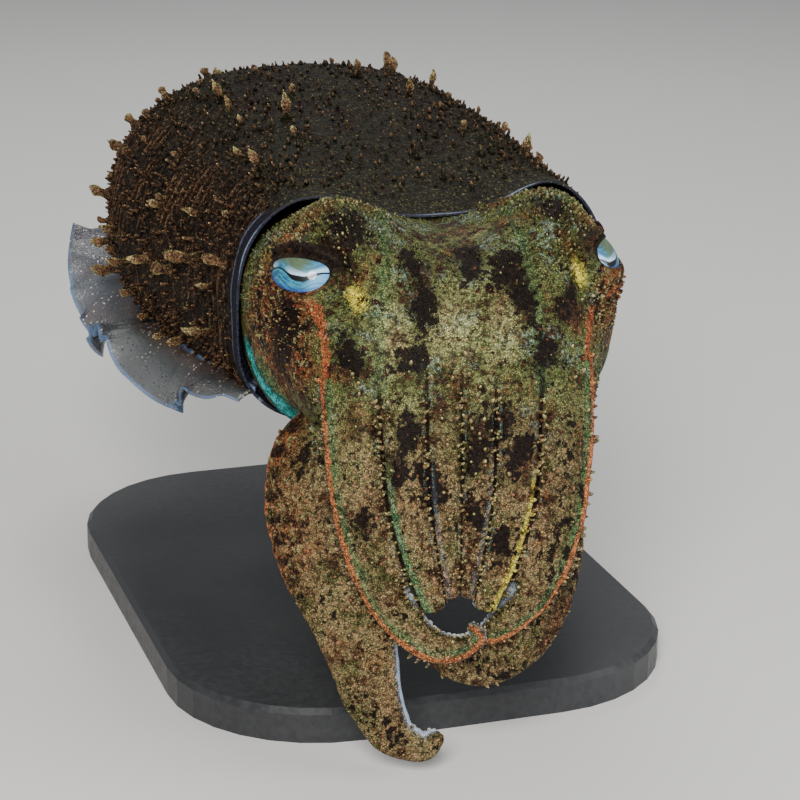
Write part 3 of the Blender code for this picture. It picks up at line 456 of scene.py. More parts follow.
class Arm:
    """One arm: its route, added up from station to station, and its section. side is 1 left, -1 right."""

    def __init__(self, number, side):
        self.number, self.side = number, side
        if number == 4:
            rows = list(FOURTH[side])
        else:
            lengths = np.linspace(ARM_ROOT, ARM_ENDS[number], 8)
            rows = packed_stations(number, lengths) + list(FRONT_OF_THIRD[side] if number == 3 else ())
        rows = np.array(rows)
        places = from_axis(rows[:, 0], side * rows[:, 1], rows[:, 2])
        run = np.concatenate([[0], np.cumsum(np.linalg.norm(np.diff(places, axis=0), axis=1))])
        self.table = np.column_stack([run, places, rows[:, 0], rows[:, 3:]])
        self.reach = run[-1]

    def place(self, at):
        """The route's place at that run."""
        return smooth_table(self.table, at)[..., :3]

    def frame(self, at):
        """Ahead, outwards and up at that run of the route, the last two leaning with the section."""
        step = self.reach / 200
        values = smooth_table(self.table, at)
        low, high = np.maximum(at - step, 0), np.minimum(at + step, self.reach)
        ahead = unit(self.place(high) - self.place(low))
        above = upright(on_axis(AXIS_UP, values[..., 3]), ahead)
        across = self.side * np.cross(above, ahead)
        lean = np.radians(values[..., 6])[..., None]
        c, s = np.cos(lean), np.sin(lean)
        return ahead, across * c - above * s, above * c + across * s

    def point(self, at, angle):
        """A point of the skin: the route's place, plus the section's reach outwards and up."""
        values = smooth_table(self.table, at)
        out, over = arm_section(values[..., 4], values[..., 5], angle, values[..., 7])
        _, across, up = self.frame(at)
        return values[..., :3] + across * out[..., None] + up * over[..., None]


ARMS = [Arm(number, side) for number in (1, 2, 3, 4) for side in (-1, 1)]
print("arms reach", [round(arm.reach * 1000) for arm in ARMS], "mm")

# %% [markdown]
# ## Markings as functions of place
# A cuttlefish paints its skin with small muscle-ringed cells. Dark blotches, two yellow spots and pale
# patches lie on the face, an orange-red line runs from under each eye down the third arm's edge, and
# finer green, yellow and whitish lines part the arms. Each marking is a number from 0 to 1 at every
# point, made from distances on the animal itself, so that it stays right from every side.

# %% Marks on the head
MARKS = ("orange", "green", "yellow", "pale", "blotch", "patch", "shine", "groove", "oral")
# Length, distance to the left, reach along, reach across.
HEAD_BLOTCHES = (
    (0.0265, 0.0035, 0.0045, 0.0042),
    (0.0290, -0.0110, 0.0035, 0.0040),
    (0.0345, -0.0095, 0.0060, 0.0045),
    (0.0310, 0.0150, 0.0045, 0.0040),
    (0.0360, 0.0175, 0.0050, 0.0034),
    (0.0450, -0.0130, 0.0030, 0.0048),
    (0.0460, 0.0215, 0.0050, 0.0040),
    (0.0220, -0.0280, 0.0050, 0.0070),
    (0.0190, 0.0280, 0.0040, 0.0060),
    (0.0435, -0.0285, 0.0045, 0.0036),
    (0.0330, -0.0445, 0.0060, 0.0050),
    (0.0350, 0.0300, 0.0028, 0.0036),
)
HEAD_PATCHES = (
    (0.0420, -0.0170, 0.0050, 0.0045),
    (0.0405, -0.0025, 0.0060, 0.0070),
    (0.0405, 0.0120, 0.0050, 0.0040),
)
YELLOW_SPOTS = ((0.0352, -0.0252, 0.0024, 0.0022), (0.0300, 0.0330, 0.0026, 0.0024))
CHEEK_LINE = ((0.024, 0.0465), (0.030, 0.0405), (0.034, 0.0365), (0.040, 0.0345), (0.052, 0.0345))
BROW_LINE = ((0.010, 0.0165), (0.023, 0.0180), (0.038, 0.0205), (0.052, 0.0212))
SWAY, SWAY_CELL = 0.0026, 0.0062
LINE_BEGINS, LINE_WIDTHS, LINE_NARROWS = (0.0285, 0.0360), (0.0010, 0.0013), (-0.0400, -0.0300)
BROW_LINE_BEGINS, BROW_LINE_WIDTH = (0.006, 0.014), 0.0013
SHINE_AT, SHINE_WIDTHS, SHINE_FADE, SHINE_ON_LEFT = (0.0105, 0.0155), (0.0044, 0.0042), 0.30, 0.5
LEAF_AT, LEAF_WIDTH = (0.0205, 0.0160), 0.0045


def swayed(points, length, side):
    """Length and side moved by a noise of the place, so that a spot drawn from them is never a plain oval."""
    return length + SWAY * noise(points, SWAY_CELL, 61), side + SWAY * noise(points, SWAY_CELL, 62)


def spots(length, side, places):
    """The greatest of several bells, each (length, side, reach along, reach across)."""
    cups = [bell(length, at, along) * bell(side, off, across) for at, off, along, across in places]
    return np.max(cups, axis=0)


def head_marks(length, angle, points):
    """Marks of the head by length along the axis and distance to the side, on its upper half and flanks."""
    half_width, _, _, square, _ = np.moveaxis(smooth_table(HEAD_STATIONS, length), -1, 0)
    side = head_side(length, angle, half_width, square)
    top = soft_step(np.sin(angle), -0.25, 0.15)
    cheek = np.interp(length, *zip(*CHEEK_LINE))
    brow = np.interp(length, *zip(*BROW_LINE))
    down = soft_step(length, *LINE_BEGINS)
    flank = soft_step(np.abs(np.cos(angle)), 0.45, 0.7) * soft_step(-np.sin(angle), -0.02, 0.22)
    fall = soft_step(-np.sin(angle), 0.05, 0.55)
    shown = np.where(side < 0, 1.0, SHINE_ON_LEFT)
    stripe = LINE_WIDTHS[0] + LINE_WIDTHS[1] * (side < 0) * soft_step(-length, *LINE_NARROWS)
    band = bell(length, SHINE_AT[0] + SHINE_AT[1] * fall, SHINE_WIDTHS[0] + SHINE_WIDTHS[1] * fall)
    band = band * (1 - SHINE_FADE * fall)
    return {key: 0 * side for key in MARKS} | {
        "orange": top * down * bell(np.abs(side), cheek, stripe),
        "green": np.maximum(
            0.32 * top * soft_step(length, *BROW_LINE_BEGINS) * bell(np.abs(side), brow, BROW_LINE_WIDTH),
            0.9 * flank * bell(length, LEAF_AT[0] + LEAF_AT[1] * fall, LEAF_WIDTH),
        ),
        "yellow": top * spots(length, side, YELLOW_SPOTS),
        "blotch": top * spots(*swayed(points, length, side), HEAD_BLOTCHES),
        "patch": top * spots(length, side, HEAD_PATCHES),
        "shine": flank * band * shown,
    }


print("head marks:", ", ".join(MARKS))

# %% Marks on the arms
ARM_BLOTCHES = (
    (0.0720, -0.0080, 0.0060, 0.0030),
    (0.0620, 0.0045, 0.0060, 0.0060),
    (0.0650, 0.0150, 0.0055, 0.0042),
    (0.0580, 0.0095, 0.0045, 0.0040),
    (0.0675, -0.0170, 0.0045, 0.0030),
    (0.0600, -0.0130, 0.0040, 0.0035),
    (0.0780, 0.0030, 0.0050, 0.0030),
    (0.0850, 0.0100, 0.0040, 0.0030),
    (0.0800, -0.0250, 0.0040, 0.0030),
)
# Arm, its sides, mark, strength, distance from the outer edge, spread, and whether it starts past the head.
ARM_LINES = (
    (1, (-1, 1), "pale", 0.25, 0.0013, 0.0005, True),
    (2, (-1,), "green", 0.90, 0.0018, 0.0011, True),
    (2, (1,), "yellow", 0.90, 0.0018, 0.0011, True),
    (3, (-1, 1), "orange", 1.00, 0.0019, 0.0010, False),
    (3, (-1, 1), "green", 0.60, 0.0037, 0.0008, False),
    (3, (-1, 1), "pale", 0.35, 0.0004, 0.0005, False),
)
PAST_HEAD, PARTED = (0.058, 0.080), (0.046, 0.066)
EDGE_SPREAD = 0.0006
BAR_LENGTH = 0.0048
KEEL_SPREAD, KEEL_FADE = 0.0014, (0.40, 0.60)


def arm_marks(arm, at, angle):
    """Marks of an arm by the distance from its outer and inner edges, above and below."""
    values = smooth_table(arm.table, at)
    length, half_width = values[..., 3], values[..., 4]
    reach, _ = arm_section(half_width, values[..., 5], angle, values[..., 7])
    to_outer, to_inner = half_width - reach, half_width + reach
    top, under = np.sin(angle) > 0, np.sin(angle) < 0
    place = arm.point(at, angle)
    side = np.sum((place - on_axis(AXIS_PLACE, length)) * on_axis(AXIS_LEFT, length), -1)
    rows = {key: np.zeros_like(reach) for key in MARKS}
    fresh, parted = soft_step(length, *PAST_HEAD), soft_step(length, *PARTED)
    rows["oral"] = under * soft_step(np.minimum(to_outer, to_inner), 0.0002, 0.0012)
    edge = bell(to_outer, 0.0001, EDGE_SPREAD) + bell(to_inner, 0.0001, EDGE_SPREAD)
    rows["pale"] = 0.8 * under * edge * fresh
    for number, sides, key, strength, off, spread, past_head in ARM_LINES:
        if arm.number == number and arm.side in sides:
            rows[key] = rows[key] + strength * top * bell(to_outer, off, spread) * (fresh if past_head else 1)
    if arm.number < 4:
        # The groove mark sinks the skin between the arms; in the finish it also darkens it a little as
        # painted shade.
        seam = np.maximum(bell(to_outer, 0.0, EDGE_SPREAD), bell(to_inner, 0.0, EDGE_SPREAD))
        rows["groove"] = top * parted * seam
        rows["blotch"] = top * spots(*swayed(place, length, side), ARM_BLOTCHES)
        return rows
    share = at / arm.reach
    bars = 0.5 + 0.5 * np.sin(at / BAR_LENGTH * math.tau)
    keel = bell(to_outer, 0.0, KEEL_SPREAD) * (1 - soft_step(share, *KEEL_FADE))
    speckled = noise(np.stack([at, to_outer, 0 * at], -1), 0.006, 40 + arm.side)
    barred = 0.8 * top * bell(to_outer, 0.003, 0.003) * (1 - bars) * (share < 0.5)
    rows["pale"] = rows["pale"] + top * bell(to_inner, 0.0, 0.0008) * soft_step(share, 0.25, 0.45)
    rows["orange"] = keel * (0.45 + 0.55 * bars)
    rows["blotch"] = np.maximum(barred, 0.34 * top * soft_step(speckled, 0.15, 0.5))
    return rows


print("arm marks ready for", len(ARMS), "arms")

# %% [markdown]
# ## Head, arms and funnel as one skin
# On the animal no seam parts arm and head. The shells are laid over each other and remeshed into one
# closed skin, which is then relaxed a little so that the joins become soft folds. Remeshing forgets the
# marks, so they are carried over from the nearest point of the old shells. Only the largest shell is
# kept, without the specks that the remesh leaves beside it.

# %% Shells of head, arms and funnel
ARM_ROWS = 110
ARM_COLUMNS = 40
TIP_ROUND = 0.0016
FUNNEL_GRID = (24, 48)
# Distance ahead of the mantle's rim, half width, half height, drop below the neck.
FUNNEL_STATIONS = (
    (-0.016, 0.0150, 0.0080, 0.0285),
    (-0.004, 0.0145, 0.0082, 0.0300),
    (0.006, 0.0125, 0.0080, 0.0325),
    (0.016, 0.0100, 0.0074, 0.0360),
    (0.025, 0.0078, 0.0066, 0.0400),
)
# Distance ahead, and the section's share of the mouth.
FUNNEL_BORE = ((0.0252, 0.66), (0.019, 0.58), (0.012, 0.40))


def arm_shell(arm):
    """The arm's section carried along its route. The last rings shrink in a half round to close the tip."""
    share = np.linspace(0, 1, ARM_ROWS)
    turns = np.linspace(-math.pi, math.pi, ARM_COLUMNS, endpoint=False)
    at, angle = np.meshgrid(share * arm.reach, turns, indexing="ij")
    grid = arm.point(at, angle)
    middle = grid.mean(1, keepdims=True)
    left = (1 - share[:, None, None]) * arm.reach
    round_end = np.sqrt(np.clip(1 - (1 - np.clip(left / TIP_ROUND, 0, 1)) ** 2, 0.02, 1))
    return middle + (grid - middle) * round_end, arm_marks(arm, at, angle)


def funnel_shell():
    """Oval rings under the neck, and smaller ones turned back inside for the bore."""
    ahead = np.linspace(FUNNEL_STATIONS[0][0], FUNNEL_STATIONS[-1][0], FUNNEL_GRID[0])
    wide, high, drop = smooth_table(FUNNEL_STATIONS, ahead).T
    share = np.ones_like(ahead)
    for place, narrowed in FUNNEL_BORE:
        ahead, share = np.append(ahead, place), np.append(share, narrowed)
        wide, high, drop = (np.append(row, row[-1]) for row in (wide, high, drop))
    angle = np.linspace(0, math.tau, FUNNEL_GRID[1], endpoint=False)
    x = NECK[0] + (wide * share)[:, None] * np.cos(angle)
    z = NECK[2] - drop[:, None] + (high * share)[:, None] * np.sin(angle)
    y = np.broadcast_to(MANTLE_FRONT - ahead[:, None], x.shape)
    return np.stack([x, y, z], -1)


def gather(shells):
    """Several closed shells as one list of points, faces and marks."""
    all_points, all_faces, all_marks, count = [], [], [], 0
    for grid, marks in shells:
        points, faces = closed_shell(grid)
        all_faces.append(facing_out(points, faces) + count)
        count += len(points)
        all_points.append(points)
        rows = np.stack([np.broadcast_to(marks[key], grid.shape[:2]) for key in MARKS], -1)
        ends = [rows[0].mean(0), rows[-1].mean(0)]
        all_marks.append(np.concatenate([rows.reshape(-1, len(MARKS)), ends]))
    return np.concatenate(all_points), np.concatenate(all_faces), np.concatenate(all_marks)


no_marks = {key: 0.0 for key in MARKS}
shells = [(head_grid, head_marks(head_at, head_turn, head_grid)), (funnel_shell(), no_marks)]
shells += [arm_shell(arm) for arm in ARMS]
raw_points, raw_faces, raw_marks = gather(shells)
print("shells:", len(raw_points), "points")

# %% Remesh, relax and carry the marks over
SKIN_VOXEL = 0.00083
RELAX_ROUNDS = 3


def settle(target):
    """Applies the object's modifiers to its mesh."""
    bpy.context.view_layer.update()
    seen = target.evaluated_get(bpy.context.evaluated_depsgraph_get())
    finished = bpy.data.meshes.new_from_object(seen)
    target.modifiers.clear()
    target.data = finished


def read(items, key, width, kind=float):
    """One property of every item of a mesh's collection, width numbers to a row."""
    flat = np.empty(len(items) * width, kind)
    items.foreach_get(key, flat)
    return flat.reshape(-1, width)


def relaxed(points, edges, rounds):
    """Each point moved half-way to its neighbours' mean, then a little back, so that nothing shrinks much."""
    count = np.bincount(edges.ravel(), minlength=len(points))[:, None]
    for step in (0.5, -0.42) * rounds:
        total = np.zeros_like(points)
        for k in range(3):
            total[:, k] = np.bincount(edges[:, 0], points[edges[:, 1], k], len(points))
            total[:, k] += np.bincount(edges[:, 1], points[edges[:, 0], k], len(points))
        points = points + step * (total / count - points)
    return points


def shell_names(count, edges):
    """Each point's shell, named by a low point of it: names pass over the edges until none changes."""
    names = np.arange(count)
    while True:
        lower, found = names[edges].min(1), names.copy()
        for k in range(2):
            np.minimum.at(found, edges[:, k], lower)
        found = found[found]
        if (found == names).all():
            return names
        names = found


def carry_marks(source, target, marks):
    """Marks taken from the nearest face of another object, packed four to a colour layer."""
    layers = [f"marks_{k}" for k in range(-(-len(MARKS) // 4))]
    for k, layer in enumerate(layers):
        four = np.zeros((len(marks), 4), np.float32)
        rows = marks[:, 4 * k : 4 * k + 4]
        four[:, : rows.shape[1]] = rows
        target.data.color_attributes.new(layer, "FLOAT_COLOR", "POINT")
        given = source.data.color_attributes.new(layer, "FLOAT_COLOR", "POINT")
        given.data.foreach_set("color", four.ravel())
    carry = target.modifiers.new("carry", "DATA_TRANSFER")
    carry.object = source
    carry.use_vert_data = True
    carry.data_types_verts = {"COLOR_VERTEX"}
    carry.vert_mapping = "POLYINTERP_NEAREST"
    settle(target)
    found = [read(target.data.color_attributes[layer].data, "color", 4, np.float32) for layer in layers]
    return np.concatenate(found, 1)[:, : len(MARKS)]


old_shells = mesh_object("old_shells", raw_points, raw_faces)
fused = mesh_object("fused", raw_points, raw_faces)
remesh = fused.modifiers.new("remesh", "REMESH")
remesh.mode = "VOXEL"
remesh.voxel_size = SKIN_VOXEL
settle(fused)
skin_edges = read(fused.data.edges, "vertices", 2, np.int32)
skin_points = relaxed(read(fused.data.vertices, "co", 3), skin_edges, RELAX_ROUNDS)
skin_marks = carry_marks(old_shells, fused, raw_marks)
skin_faces = read(fused.data.loops, "vertex_index", 1, np.int32).reshape(-1, 4)
names = shell_names(len(skin_points), skin_edges)
kept = names == np.bincount(names).argmax()
number = np.cumsum(kept) - 1
skin_faces, skin_edges = (number[rows[kept[rows[:, 0]]]] for rows in (skin_faces, skin_edges))
skin_points, skin_marks = skin_points[kept], skin_marks[kept]
for passing in (old_shells, fused):
    bpy.data.objects.remove(passing)
print("skin:", len(skin_points), "points, dropped", int((~kept).sum()))
print("marks up to", dict(zip(MARKS, skin_marks.max(0).round(2).tolist())))

# %% [markdown]
# ## Sockets and lids
# A cuttlefish's eye sits in a socket behind a heavy upper lid. The skin near each eye is moved along rays
# from the eye's middle: inside an oval opening it goes below the eyeball, and at the rim it swells to a lid.

# %% The eyes' places and the lids
EYE_RADIUS = 0.0118
EYE_ALONG = 0.0235
EYE_PLACES = {-1: (0.0358, 0.0185), 1: (0.0348, 0.0195)}
EYE_FORWARD, EYE_UP = 0.50, 0.10
OPENING_KEYS = ("ahead", "wide", "up", "high", "slope", "sag", "widening")
OPENINGS = {
    -1: dict(zip(OPENING_KEYS, (0.20, 0.58, 0.200, 0.258, 0.070, 0.055, 0.42))),
    1: dict(zip(OPENING_KEYS, (-0.10, 0.49, 0.270, 0.235, 0.000, 0.020, 0.15))),
}
OPENING_SQUARE = 2.2
OPENING_EDGE = 0.96
SOCKET_DEPTH = 0.0020
SOCKET_REACH = 0.024
BEHIND_EYE = -0.15
LID_HEIGHT = 0.0008
LID_SWELLING, LID_AT = 0.0011, (1.30, 0.34)
LID_FADE = (1.30, 1.95)
LOOSE_SKIN, LOOSE_REACH, LOOSE_ROUNDS = (1.2, 1.7), 0.017, 10


def eye_frame(side):
    """The eye's middle, and its ways forward, up and outwards."""
    length = np.array(EYE_ALONG)
    off, above = EYE_PLACES[side]
    middle = from_axis(length, np.array(side * off), np.array(above))
    level = on_axis(AXIS_AHEAD, length) * (1, 1, 0)
    look = unit(side * on_axis(AXIS_LEFT, length) + EYE_FORWARD * unit(level) + np.array((0, 0, EYE_UP)))
    up = upright(np.array((0, 0, 1)), look)
    return middle, unit(level - look * (level @ look) - up * (level @ up)), up, look


def eye_coordinates(points, side):
    """Distance from the eye's middle, and the parts of the direction that point forward, up and outwards."""
    middle, ahead, up, look = eye_frame(side)
    away = points - middle
    reach = np.linalg.norm(away, axis=-1)
    way = unit(away)
    return reach, way @ ahead, way @ up, way @ look


def opening_reach(ahead, up, outwards, side):
    """1 on the opening's rim, less inside: an egg on a flat map of the eyeball, drawn from its inner pole."""
    oval = OPENINGS[side]
    flat = 1 / (1 + np.maximum(outwards, -0.9))
    along = np.clip((ahead * flat - oval["ahead"]) / oval["wide"], -1.8, 1.8)
    high = oval["high"] * (1 + oval["widening"] * along)
    across = (up * flat - oval["up"] - oval["slope"] * along - oval["sag"] * along**2) / high
    return (np.abs(along) ** OPENING_SQUARE + np.abs(across) ** OPENING_SQUARE) ** (1 / OPENING_SQUARE)


def socket_skin(points, side):
    """Points moved along their rays: sunk inside the opening, a lid at its rim, and clear of the eyeball."""
    reach, ahead, up, outwards = eye_coordinates(points, side)
    rim = opening_reach(ahead, up, outwards, side)
    near = (outwards > BEHIND_EYE) & (reach < SOCKET_REACH) & (reach > 0.5 * EYE_RADIUS)
    upper = soft_step(up, 0.25, 0.60)
    lid = EYE_RADIUS + LID_HEIGHT + LID_SWELLING * bell(rim, *LID_AT) * (0.35 + upper)
    wanted = np.where(rim < OPENING_EDGE, EYE_RADIUS - SOCKET_DEPTH, lid)
    moved = reach + (wanted - reach) * (1 - soft_step(rim, *LID_FADE)) * near
    moved = np.where(near & (rim >= OPENING_EDGE), np.maximum(moved, EYE_RADIUS + LID_HEIGHT), moved)
    middle = eye_frame(side)[0]
    points = middle + unit(points - middle) * moved[:, None]
    loose = soft_step(rim, *LOOSE_SKIN) * (1 - soft_step(reach, LOOSE_REACH, SOCKET_REACH))
    points = points + (relaxed(points, skin_edges, LOOSE_ROUNDS) - points) * loose[:, None]
    return points, rim + 9 * (outwards < BEHIND_EYE), up


def point_normals(points, faces):
    """Each point's normal, the mean of its faces' normals."""
    corner = points[faces]
    face_normal = np.cross(corner[:, 2] - corner[:, 0], corner[:, 3] - corner[:, 1])
    total = np.zeros_like(points)
    for k in range(4):
        for axis in range(3):
            total[:, axis] += np.bincount(faces[:, k], face_normal[:, axis], len(points))
    return unit(total)


GROOVE_DEPTH = 0.0007
STRIPE_HEIGHT = 0.0003
SKIN_FOLDS = ((0.0042, 31, 0.00022), (0.0019, 32, 0.00014))
skin_faces = facing_out(skin_points, skin_faces)
relief = sum(noise(skin_points, cell, seed) * height for cell, seed, height in SKIN_FOLDS)
relief = relief - GROOVE_DEPTH * np.clip(skin_marks[:, MARKS.index("groove")], 0, 1)
relief = relief + STRIPE_HEIGHT * np.clip(skin_marks[:, MARKS.index("orange")], 0, 1)
skin_points = skin_points + point_normals(skin_points, skin_faces) * relief[:, None]
lid_rims, lid_ups = [], []
for eye_side in (-1, 1):
    skin_points, rim, up = socket_skin(skin_points, eye_side)
    lid_rims.append(rim)
    lid_ups.append(up)
lid_rim = np.minimum(*lid_rims)
lid_up = np.where(lid_rims[0] < lid_rims[1], *lid_ups)
print("points in the sockets:", int((lid_rim < 1).sum()))

# %% [markdown]
# ## Painting with expressions
# A finish is a tree of shader nodes. Wired by hand it is hard to read, so a small class wraps a socket and
# lets a mask be written as a formula: each operator adds one Math node. Colours go through Mix nodes.

# %% Sockets as values


class Value:
    """One output socket, on which + - * / add Math nodes."""

    def __init__(self, paint, socket):
        self.paint, self.socket = paint, socket

    def _math(self, operation, *values):
        """A Math node of that operation."""
        return self.paint.node("Math", {"operation": operation}, dict(enumerate(values)))

    def __add__(self, other):
        return self._math("ADD", self, other)

    __radd__ = __add__

    def __sub__(self, other):
        return self._math("SUBTRACT", self, other)

    def __rsub__(self, other):
        return self._math("SUBTRACT", other, self)

    def __mul__(self, other):
        return self._math("MULTIPLY", self, other)

    def __truediv__(self, other):
        return self._math("DIVIDE", self, other)

    def size(self):
        """The value without its sign."""
        return self._math("ABSOLUTE", self)

    def least(self, other):
        """The lesser of the two."""
        return self._math("MINIMUM", self, other)

    def fraction(self):
        """What is left over the whole number below."""
        return self._math("FRACT", self)

    def step(self, low, high, to_low=0.0, to_high=1.0):
        """A soft step from to_low to to_high as the value goes from low to high."""
        sockets = {"Value": self, "From Min": low, "From Max": high, "To Min": to_low, "To Max": to_high}
        return self.paint.node("MapRange", {"interpolation_type": "SMOOTHSTEP"}, sockets)

    def fall(self, low, high):
        """The same step from 1 down to 0."""
        return self.step(low, high, 1.0, 0.0)


class Paint:
    """A material whose nodes come from one method."""

    def __init__(self, name, **constants):
        self.material = bpy.data.materials.new(name)
        self.material.use_nodes = True
        self.tree = self.material.node_tree
        self.shader = self.tree.nodes["Principled BSDF"]
        self.set(**constants)

    def set(self, **inputs):
        """Values or links of the shader's sockets, their spaces written as underscores."""
        for key, value in inputs.items():
            self.plug(self.shader.inputs[key.replace("_", " ")], value)

    def plug(self, socket, value):
        """Links a value, or sets a constant."""
        if isinstance(value, Value):
            self.tree.links.new(value.socket, socket)
        elif isinstance(value, tuple) and len(value) == 3 and socket.type == "RGBA":
            socket.default_value = (*value, 1.0)
        else:
            socket.default_value = value

    def node(self, kind, settings=None, inputs=None, output=0):
        """A node of that type: its settings first, then its sockets by name or number."""
        made = self.tree.nodes.new("ShaderNode" + kind)
        for key, value in (settings or {}).items():
            setattr(made, key, value)
        for key, value in (inputs or {}).items():
            self.plug(made.inputs[key], value)
        return Value(self, made.outputs[output])

    def place(self):
        """The point's own coordinates."""
        return self.node("TexCoord", output=3)

    def also(self, value, output):
        """Another output of the same node."""
        return Value(self, value.socket.node.outputs[output])

    def mark(self, name):
        """A mask that the mesh carries."""
        return self.node("Attribute", {"attribute_name": name}, output=2)

    def noise(self, scale, detail, roughness, place=None):
        """Cloudy noise from 0 to 1, of about scale lumps to a metre."""
        inputs = {"Vector": place or self.place(), "Scale": scale, "Detail": detail, "Roughness": roughness}
        return self.node("TexNoise", None, inputs)

    def cells(self, scale, place):
        """The distance to the nearest of scattered points, about scale of them to a metre."""
        return self.node("TexVoronoi", None, {"Vector": place, "Scale": scale})

    def mix(self, first, second, share):
        """Two colours mixed by share, which is held between 0 and 1."""
        settings = {"data_type": "RGBA", "clamp_factor": True}
        return self.node("Mix", settings, {0: share, 6: first, 7: second}, 2)

    def layers(self, tone, *layers):
        """A tone with other colours laid over it in turn, each a pair (colour, share)."""
        for colour, share in layers:
            tone = self.mix(tone, colour, share)
        return tone

    def scaled(self, colour, share):
        """A colour times a number."""
        return self.node("VectorMath", {"operation": "SCALE"}, {0: colour, "Scale": share})

    def bump(self, height, distance, strength):
        """A normal tilted by the height; distance is what a height of 1 stands for, in metres."""
        return self.node("Bump", None, {"Height": height, "Distance": distance, "Strength": strength})


print("painting helpers ready")

# %% [markdown]
# ## The skin's finish
# Close up the skin is a mosaic of pale and dark grains less than a millimetre wide, and this contrast is
# what makes it look like living skin. Small cells give the grain, in colour and in relief, and a noise
# gathers them in clumps. The marks are coloured first, with ragged edges, and the grain goes over them.

# %% Skin of head and arms
BARK = (0.050, 0.024, 0.012)
OLIVE = (0.096, 0.124, 0.036)
LIGHT = (0.395, 0.402, 0.162)
RUSSET = (0.210, 0.080, 0.030)
ARM_TAN = (0.285, 0.215, 0.098)
DARK = (0.011, 0.005, 0.004)
CREAM = (0.800, 0.720, 0.330)
PINK = (0.560, 0.230, 0.130)
ORANGE = (0.620, 0.215, 0.075)
LEAF = (0.075, 0.260, 0.105)
EMBER = (0.400, 0.095, 0.038)
MIST = (0.230, 0.330, 0.270)
STRAW = (0.900, 0.760, 0.090)
BONE = (0.560, 0.560, 0.500)
ICE = (0.400, 0.500, 0.620)
LAGOON = (0.010, 0.360, 0.330)
CYAN = (0.120, 0.780, 0.820)


def grains(paint, place, scale):
    """Small cells: each one's grain, pale in the middle, two lucks of its own, and how light its colour is.
    """
    cell = paint.cells(scale, place)
    luck = paint.node("SeparateColor", None, {0: paint.also(cell, 1)})
    clumps = paint.noise(scale * 0.36, 2.0, 0.6, place)
    grain = cell.fall(0.32, 0.64)
    share = grain * (luck * 0.60 + 0.05) + clumps.step(0.36, 0.66) * 0.26
    return grain, luck, paint.also(luck, 1), share


